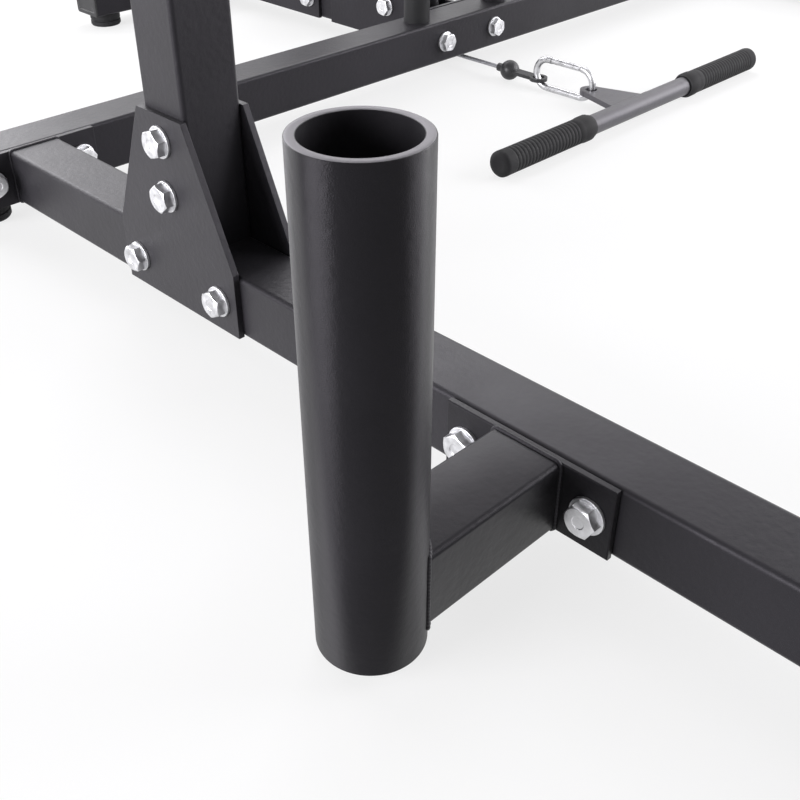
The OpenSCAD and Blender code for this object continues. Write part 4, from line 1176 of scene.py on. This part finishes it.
class RACK_OT_pulleys(bpy.types.Operator):
    """Bearings and ribs in the five pulleys"""

    bl_idname = "rack.pulleys"
    bl_label = "Pulleys"

    def execute(self, context):
        wheels = (("front", "front_wheel", FRONT_PULLEY_Y, PULLEY_Z),
                  ("rear", "rear_wheel", REAR_PULLEY_Y, PULLEY_Z),
                  ("return", "return_wheel", RETURN_Y, PULLEY_Z),
                  ("low", "low_wheel", RETURN_Y, LOW_Z),
                  ("carriage", "carriage_wheel", CROSS_Y, CARRIAGE_PULLEY_Z))
        ribs = join_forms([moved(self.rib(), turned(0, 0, 60 * k)) for k in range(6)])
        bearing = self.bearing()
        for name, body, y, z in wheels:
            place = at(0, y, z, OUT_RIGHT)
            piece(f"{name}_pulley_ribs", moved(ribs, place), body, "pulley", 30.0)
            piece(f"{name}_pulley_bearing", moved(bearing, place), body, "bolt",
                  30.0)
        return {"FINISHED"}

    def rib(self):
        """Radial rib on both sides of the web."""
        hub, rim, half, thick = 0.0175, 0.0395, 0.0085, 0.0016
        return skin([[(x, -thick, -half), (x, thick, -half), (x, thick, half), (x, -thick, half)]
                     for x in (hub, rim)])

    def bearing(self):
        """Shielded bearing in the hub, seen on both faces."""
        sunk, proud, shield = (PULLEY_W / 2 + lift for lift in (-0.0006, 0.0001, -0.0003))
        race = lathe([(0.0062, sunk), (0.0062, proud), (0.0078, proud), (0.0082, shield),
                      (0.0118, shield), (0.0122, proud), (0.0138, proud), (0.0141, sunk)])
        return join_forms([moved(race, MIRROR_Z), race])


# Stage

FLOOR_REACH = 30.0
WHITER_FROM = 1.6
WHITER_TO = 2.6
LAMP_TARGET = Vector((-0.5, -0.1, 0.1))
LAMP_REACH = 2.6
LAMP_SIZE = 1.6
LAMP_COLOR = (0.98, 0.97, 1.0)

# Softboxes, with their angles round the left foot of the rack and above the floor
SOFTBOXES = (("key", 90, 18), ("side", 0, 18), ("back", 50, 44), ("left", 164, 8),
             ("front", 325, 18))


class RACK_OT_stage(bpy.types.Operator):
    """Camera, floor, room light and lamps"""

    bl_idname = "rack.stage"
    bl_label = "Stage"

    def execute(self, context):
        scene = context.scene
        stage = scene.rack_stage
        scene.view_settings.view_transform = "Standard"
        self.camera(scene, stage)
        self.floor(scene, stage)
        self.room(scene, stage)
        for name, around, height in SOFTBOXES:
            self.softbox(scene, name, around, height, getattr(stage, name))
        return {"FINISHED"}

    def camera(self, scene, stage):
        look = Vector((cos(stage.yaw) * cos(stage.pitch),
                       sin(stage.yaw) * cos(stage.pitch), -sin(stage.pitch)))
        lens = bpy.data.cameras.new("photo_camera")
        lens.lens = stage.lens
        lens.sensor_width = 36.0
        lens.clip_start = 0.01
        camera = bpy.data.objects.new("photo_camera", lens)
        camera.location = tuple(stage.camera)
        camera.rotation_euler = look.to_track_quat("-Z", "Y").to_euler()
        scene.collection.objects.link(camera)
        scene.camera = camera

    def floor(self, scene, stage):
        """Pale floor, mixed with plain white that takes over away from the rack."""
        mesh = bpy.data.meshes.new("studio_floor")
        r = FLOOR_REACH
        mesh.from_pydata([(-r, -r, 0), (r, -r, 0), (r, r, 0), (-r, r, 0)], [], [(0, 1, 2, 3)])
        floor = bpy.data.objects.new("studio_floor", mesh)
        scene.collection.objects.link(floor)
        finish, tree, shader, place = new_finish("studio_floor")
        wire(tree, shader, {"Base Color": (*stage.floor_color, 1.0), "Roughness": 0.9,
                            "Specular IOR Level": 0.0})
        away = add(tree, "VectorMath", {0: place})
        away.operation = "LENGTH"
        whiter = smooth_rise(tree, away.outputs["Value"], WHITER_FROM, WHITER_TO,
                             stage.floor_white, 1.0)
        seen = add(tree, "Math", {0: self.seen(tree), 1: whiter})
        seen.operation = "MULTIPLY"
        white = add(tree, "Emission", {"Strength": 1.0})
        mix = add(tree, "MixShader", {0: seen.outputs[0], 1: shader.outputs[0],
                                      2: white.outputs[0]})
        wire(tree, tree.nodes["Material Output"], {"Surface": mix.outputs[0]})
        mesh.materials.append(finish)

    def seen(self, tree):
        """1 for rays of the camera, of gloss and of glass, and 0 for others."""
        path = add(tree, "LightPath")
        total = path.outputs["Is Camera Ray"]
        for name in ("Is Glossy Ray", "Is Transmission Ray"):
            either = add(tree, "Math", {0: total, 1: path.outputs[name]})
            either.operation = "MAXIMUM"
            total = either.outputs[0]
        return total

    def room(self, scene, stage):
        world = scene.world or bpy.data.worlds.new("room")
        scene.world = world
        world.use_nodes = True
        tree = world.node_tree
        strength = add(tree, "MapRange", {"Value": self.seen(tree), "To Min": stage.fill,
                                          "To Max": 1.0})
        wire(tree, tree.nodes["Background"], {"Color": (1.0, 1.0, 1.0, 1.0),
                                              "Strength": strength.outputs["Result"]})

    def softbox(self, scene, name, around, height, energy):
        """Square softbox at an angle round the rack's foot and at an angle above the floor."""
        swing, rise = radians(around), radians(height)
        toward = Vector((cos(swing) * cos(rise), sin(swing) * cos(rise),
                         sin(rise)))
        data = bpy.data.lights.new(f"{name}_softbox", "AREA")
        data.shape = "SQUARE"
        data.size = LAMP_SIZE
        data.energy = energy
        data.color = LAMP_COLOR
        lamp = bpy.data.objects.new(f"{name}_softbox", data)
        lamp.location = LAMP_TARGET + toward * LAMP_REACH
        lamp.rotation_euler = (-toward).to_track_quat("-Z", "Y").to_euler()
        scene.collection.objects.link(lamp)


# Panel and registration

class RACK_PT_panel(bpy.types.Panel):
    """Sizes, colours and build steps of the rack"""

    bl_idname = "RACK_PT_panel"
    bl_label = "Power rack"
    bl_space_type = "VIEW_3D"
    bl_region_type = "UI"
    bl_category = "Rack"

    def draw(self, context):
        layout = self.layout
        for group in GROUPS:
            box = layout.box()
            box.label(text=group.__doc__)
            values = getattr(context.scene, GROUPS[group])
            for name in group.__annotations__:
                box.prop(values, name)
        for step in STEPS:
            layout.operator(step.bl_idname)


GROUPS = {
    RackCoat: "rack_coat",
    RackWelds: "rack_welds",
    RackFasteners: "rack_fasteners",
    RackGrips: "rack_grips",
    RackCable: "rack_cable",
    RackStage: "rack_stage",
}
STEPS = (
    RACK_OT_stage,
    RACK_OT_finishes,
    RACK_OT_bar_holders,
    RACK_OT_welds,
    RACK_OT_fasteners,
    RACK_OT_caps_and_feet,
    RACK_OT_handles,
    RACK_OT_cable,
    RACK_OT_pulleys,
)


def register():
    for group, name in GROUPS.items():
        bpy.utils.register_class(group)
        setattr(bpy.types.Scene, name, PointerProperty(type=group))
    for item in (*STEPS, RACK_PT_panel):
        bpy.utils.register_class(item)


def unregister():
    for item in reversed((*STEPS, RACK_PT_panel)):
        bpy.utils.unregister_class(item)
    for group, name in GROUPS.items():
        delattr(bpy.types.Scene, name)
        bpy.utils.unregister_class(group)


def main():
    register()
    for step in STEPS:
        family, name = step.bl_idname.split(".")
        getattr(getattr(bpy.ops, family), name)()


if __name__ == "__main__":
    main()
